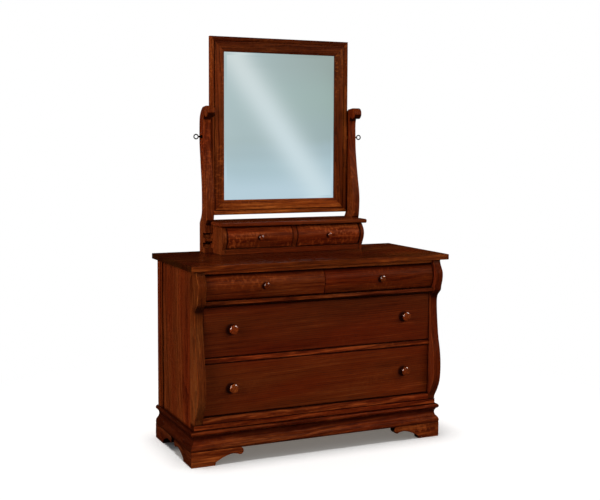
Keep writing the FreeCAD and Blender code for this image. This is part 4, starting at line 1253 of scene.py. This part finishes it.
def in_quirk(middle, normal):
    """Picks the walls and the floor of the quirk inside the frame's bead."""
    run = min(MIRROR_HALF - abs(middle.x), middle.z - MIRROR_LOW, MIRROR_HIGH - middle.z)
    return 19.9 < run < 23.6 and FRAME_BACK + 10.0 < middle.y < FRAME_FIELD - 0.5


section = frame_section()
# Painted shade in the quirk inside the bead, on the stiles and the foot rail.
for side, sign in SIDES:
    stile = Piece()
    stile.rings([
        [at(sign * (MIRROR_HALF - p.x), p.y, MIRROR_LOW + p.x) for p in section],
        [at(sign * (MIRROR_HALF - p.x), p.y, MIRROR_HIGH - p.x) for p in section],
    ])
    seed, tone = (28, (1.25, 1.35, 1.1)) if side == "left" else (48, (0.86, 0.92, 0.7))
    stile.stained(
        "frame_" + side, ["mirror_stile_" + side], "Z", seed, in_quirk, "mirror",
        tone=tone, gloss=0.07, flecks=2.5,
    )
for name, outer, step, seed, tone in (
    ("frame_foot", MIRROR_LOW, 1, 29, (1.95, 2.2, 1.6)),
    ("frame_head", MIRROR_HIGH, -1, 49, (0.62, 0.60, 0.5)),
):
    Piece().rings([
        [at(sign * (MIRROR_HALF - p.x), p.y, outer + step * p.x) for p in section] for sign in (-1, 1)
    ]).stained(
        name, ["mirror_rails"], "X", seed, lambda m, n: in_quirk(m, n) and name == "frame_foot", "mirror",
        tone=tone, gloss=0.07, figure=1.6,
    )

# Mirror glass, bevelled round its front
glass = Piece()
edge, bevel = 61.3, 86.0
rings = []
for inset_in, depth in (
    (edge, 37.0), (edge, 39.55), (bevel - 4.0, 40.62), (bevel, 41.0), (bevel + 60.0, 41.0),
):
    half = MIRROR_HALF - inset_in
    low, high = MIRROR_LOW + inset_in, MIRROR_HIGH - inset_in
    rings.append([at(-half, depth, low), at(half, depth, low), at(half, depth, high), at(-half, depth, high)])
glass.rings(rings)
glass.build("glass", silvered_glass(), "mirror", ["mirror_glass"])

# Sockets in the frame and thumb screws through the harp posts
brass = metal("aged_brass", (0.42, 0.28, 0.11), 0.38, (0.62, 0.45, 0.20))
dark = metal("dark_bronze", (0.030, 0.022, 0.016), 0.34, (0.10, 0.065, 0.04))
sockets = Piece()
centre = at(-MIRROR_HALF, PIVOT_DEPTH, PIVOT_HEIGHT)
sockets.turned([
    (-20.0, 4.05), (-20.0, 7.0), (0.0, 7.0), (0.0, 10.0), (1.7, 10.0), (2.2, 9.5), (2.2, 4.05),
], centre, (-1, 0, 0), 32, hollow=True)
sockets.join(sockets.mirrored())
sockets.build("sockets", brass, "mirror", ["mirror_sockets"])
for side, sign in SIDES:
    screw = Piece()
    tip = at(sign * 339.0, PIVOT_DEPTH, PIVOT_HEIGHT)
    screw.turned([
        (0.0, 3.2), (0.8, 4.0), (55.3, 4.0), (55.3, 8.2), (55.6, 8.8), (56.1, 9.0), (57.5, 9.0), (58.0, 8.8),
        (58.3, 8.2), (58.6, 5.2), (62.0, 4.4), (68.0, 4.0), (71.7, 2.6),
    ], tip, (sign, 0, 0), 32)
    centre = at(sign * 421.2, PIVOT_DEPTH, PIVOT_HEIGHT)
    rings = []
    for k in range(40):
        turn = 2 * math.pi * k / 40
        out = Vector((math.cos(turn), 0, math.sin(turn)))
        rings.append([
            centre + out * (10.2 + 2.7 * math.cos(w)) + Vector((0, 2.7 * math.sin(w), 0))
            for w in (2 * math.pi * i / 14 for i in range(14))
        ])
    screw.rings(rings, looped=True)
    screw.build("finger_screw_" + side, dark, "thumb_screw_" + side, ["thumb_screw_" + side])

# Wood inside the case, and the thin panels
for name, along, seed in (
    ("partition", "Y", 31), ("dust_boards", "X", 32), ("drawer_guides", "Y", 33), ("base_back_rail", "X", 34),
    ("foot_blocks", "Z", 35), ("upper_drawer_walls", "X", 36), ("lower_drawer_walls", "X", 37),
    ("small_drawer_walls_left", "X", 38), ("small_drawer_walls_right", "X", 38),
    ("box_drawer_tray_left", "X", 39), ("box_drawer_tray_right", "X", 39),
):
    paint(name, pale(along, seed))
for name, along in (
    ("back_panel", "Z"), ("box_back", "X"), ("mirror_backing", "Z"), ("upper_drawer_bottom", "X"),
    ("lower_drawer_bottom", "X"), ("small_drawer_bottom_left", "X"), ("small_drawer_bottom_right", "X"),
):
    paint(name, plywood(along))
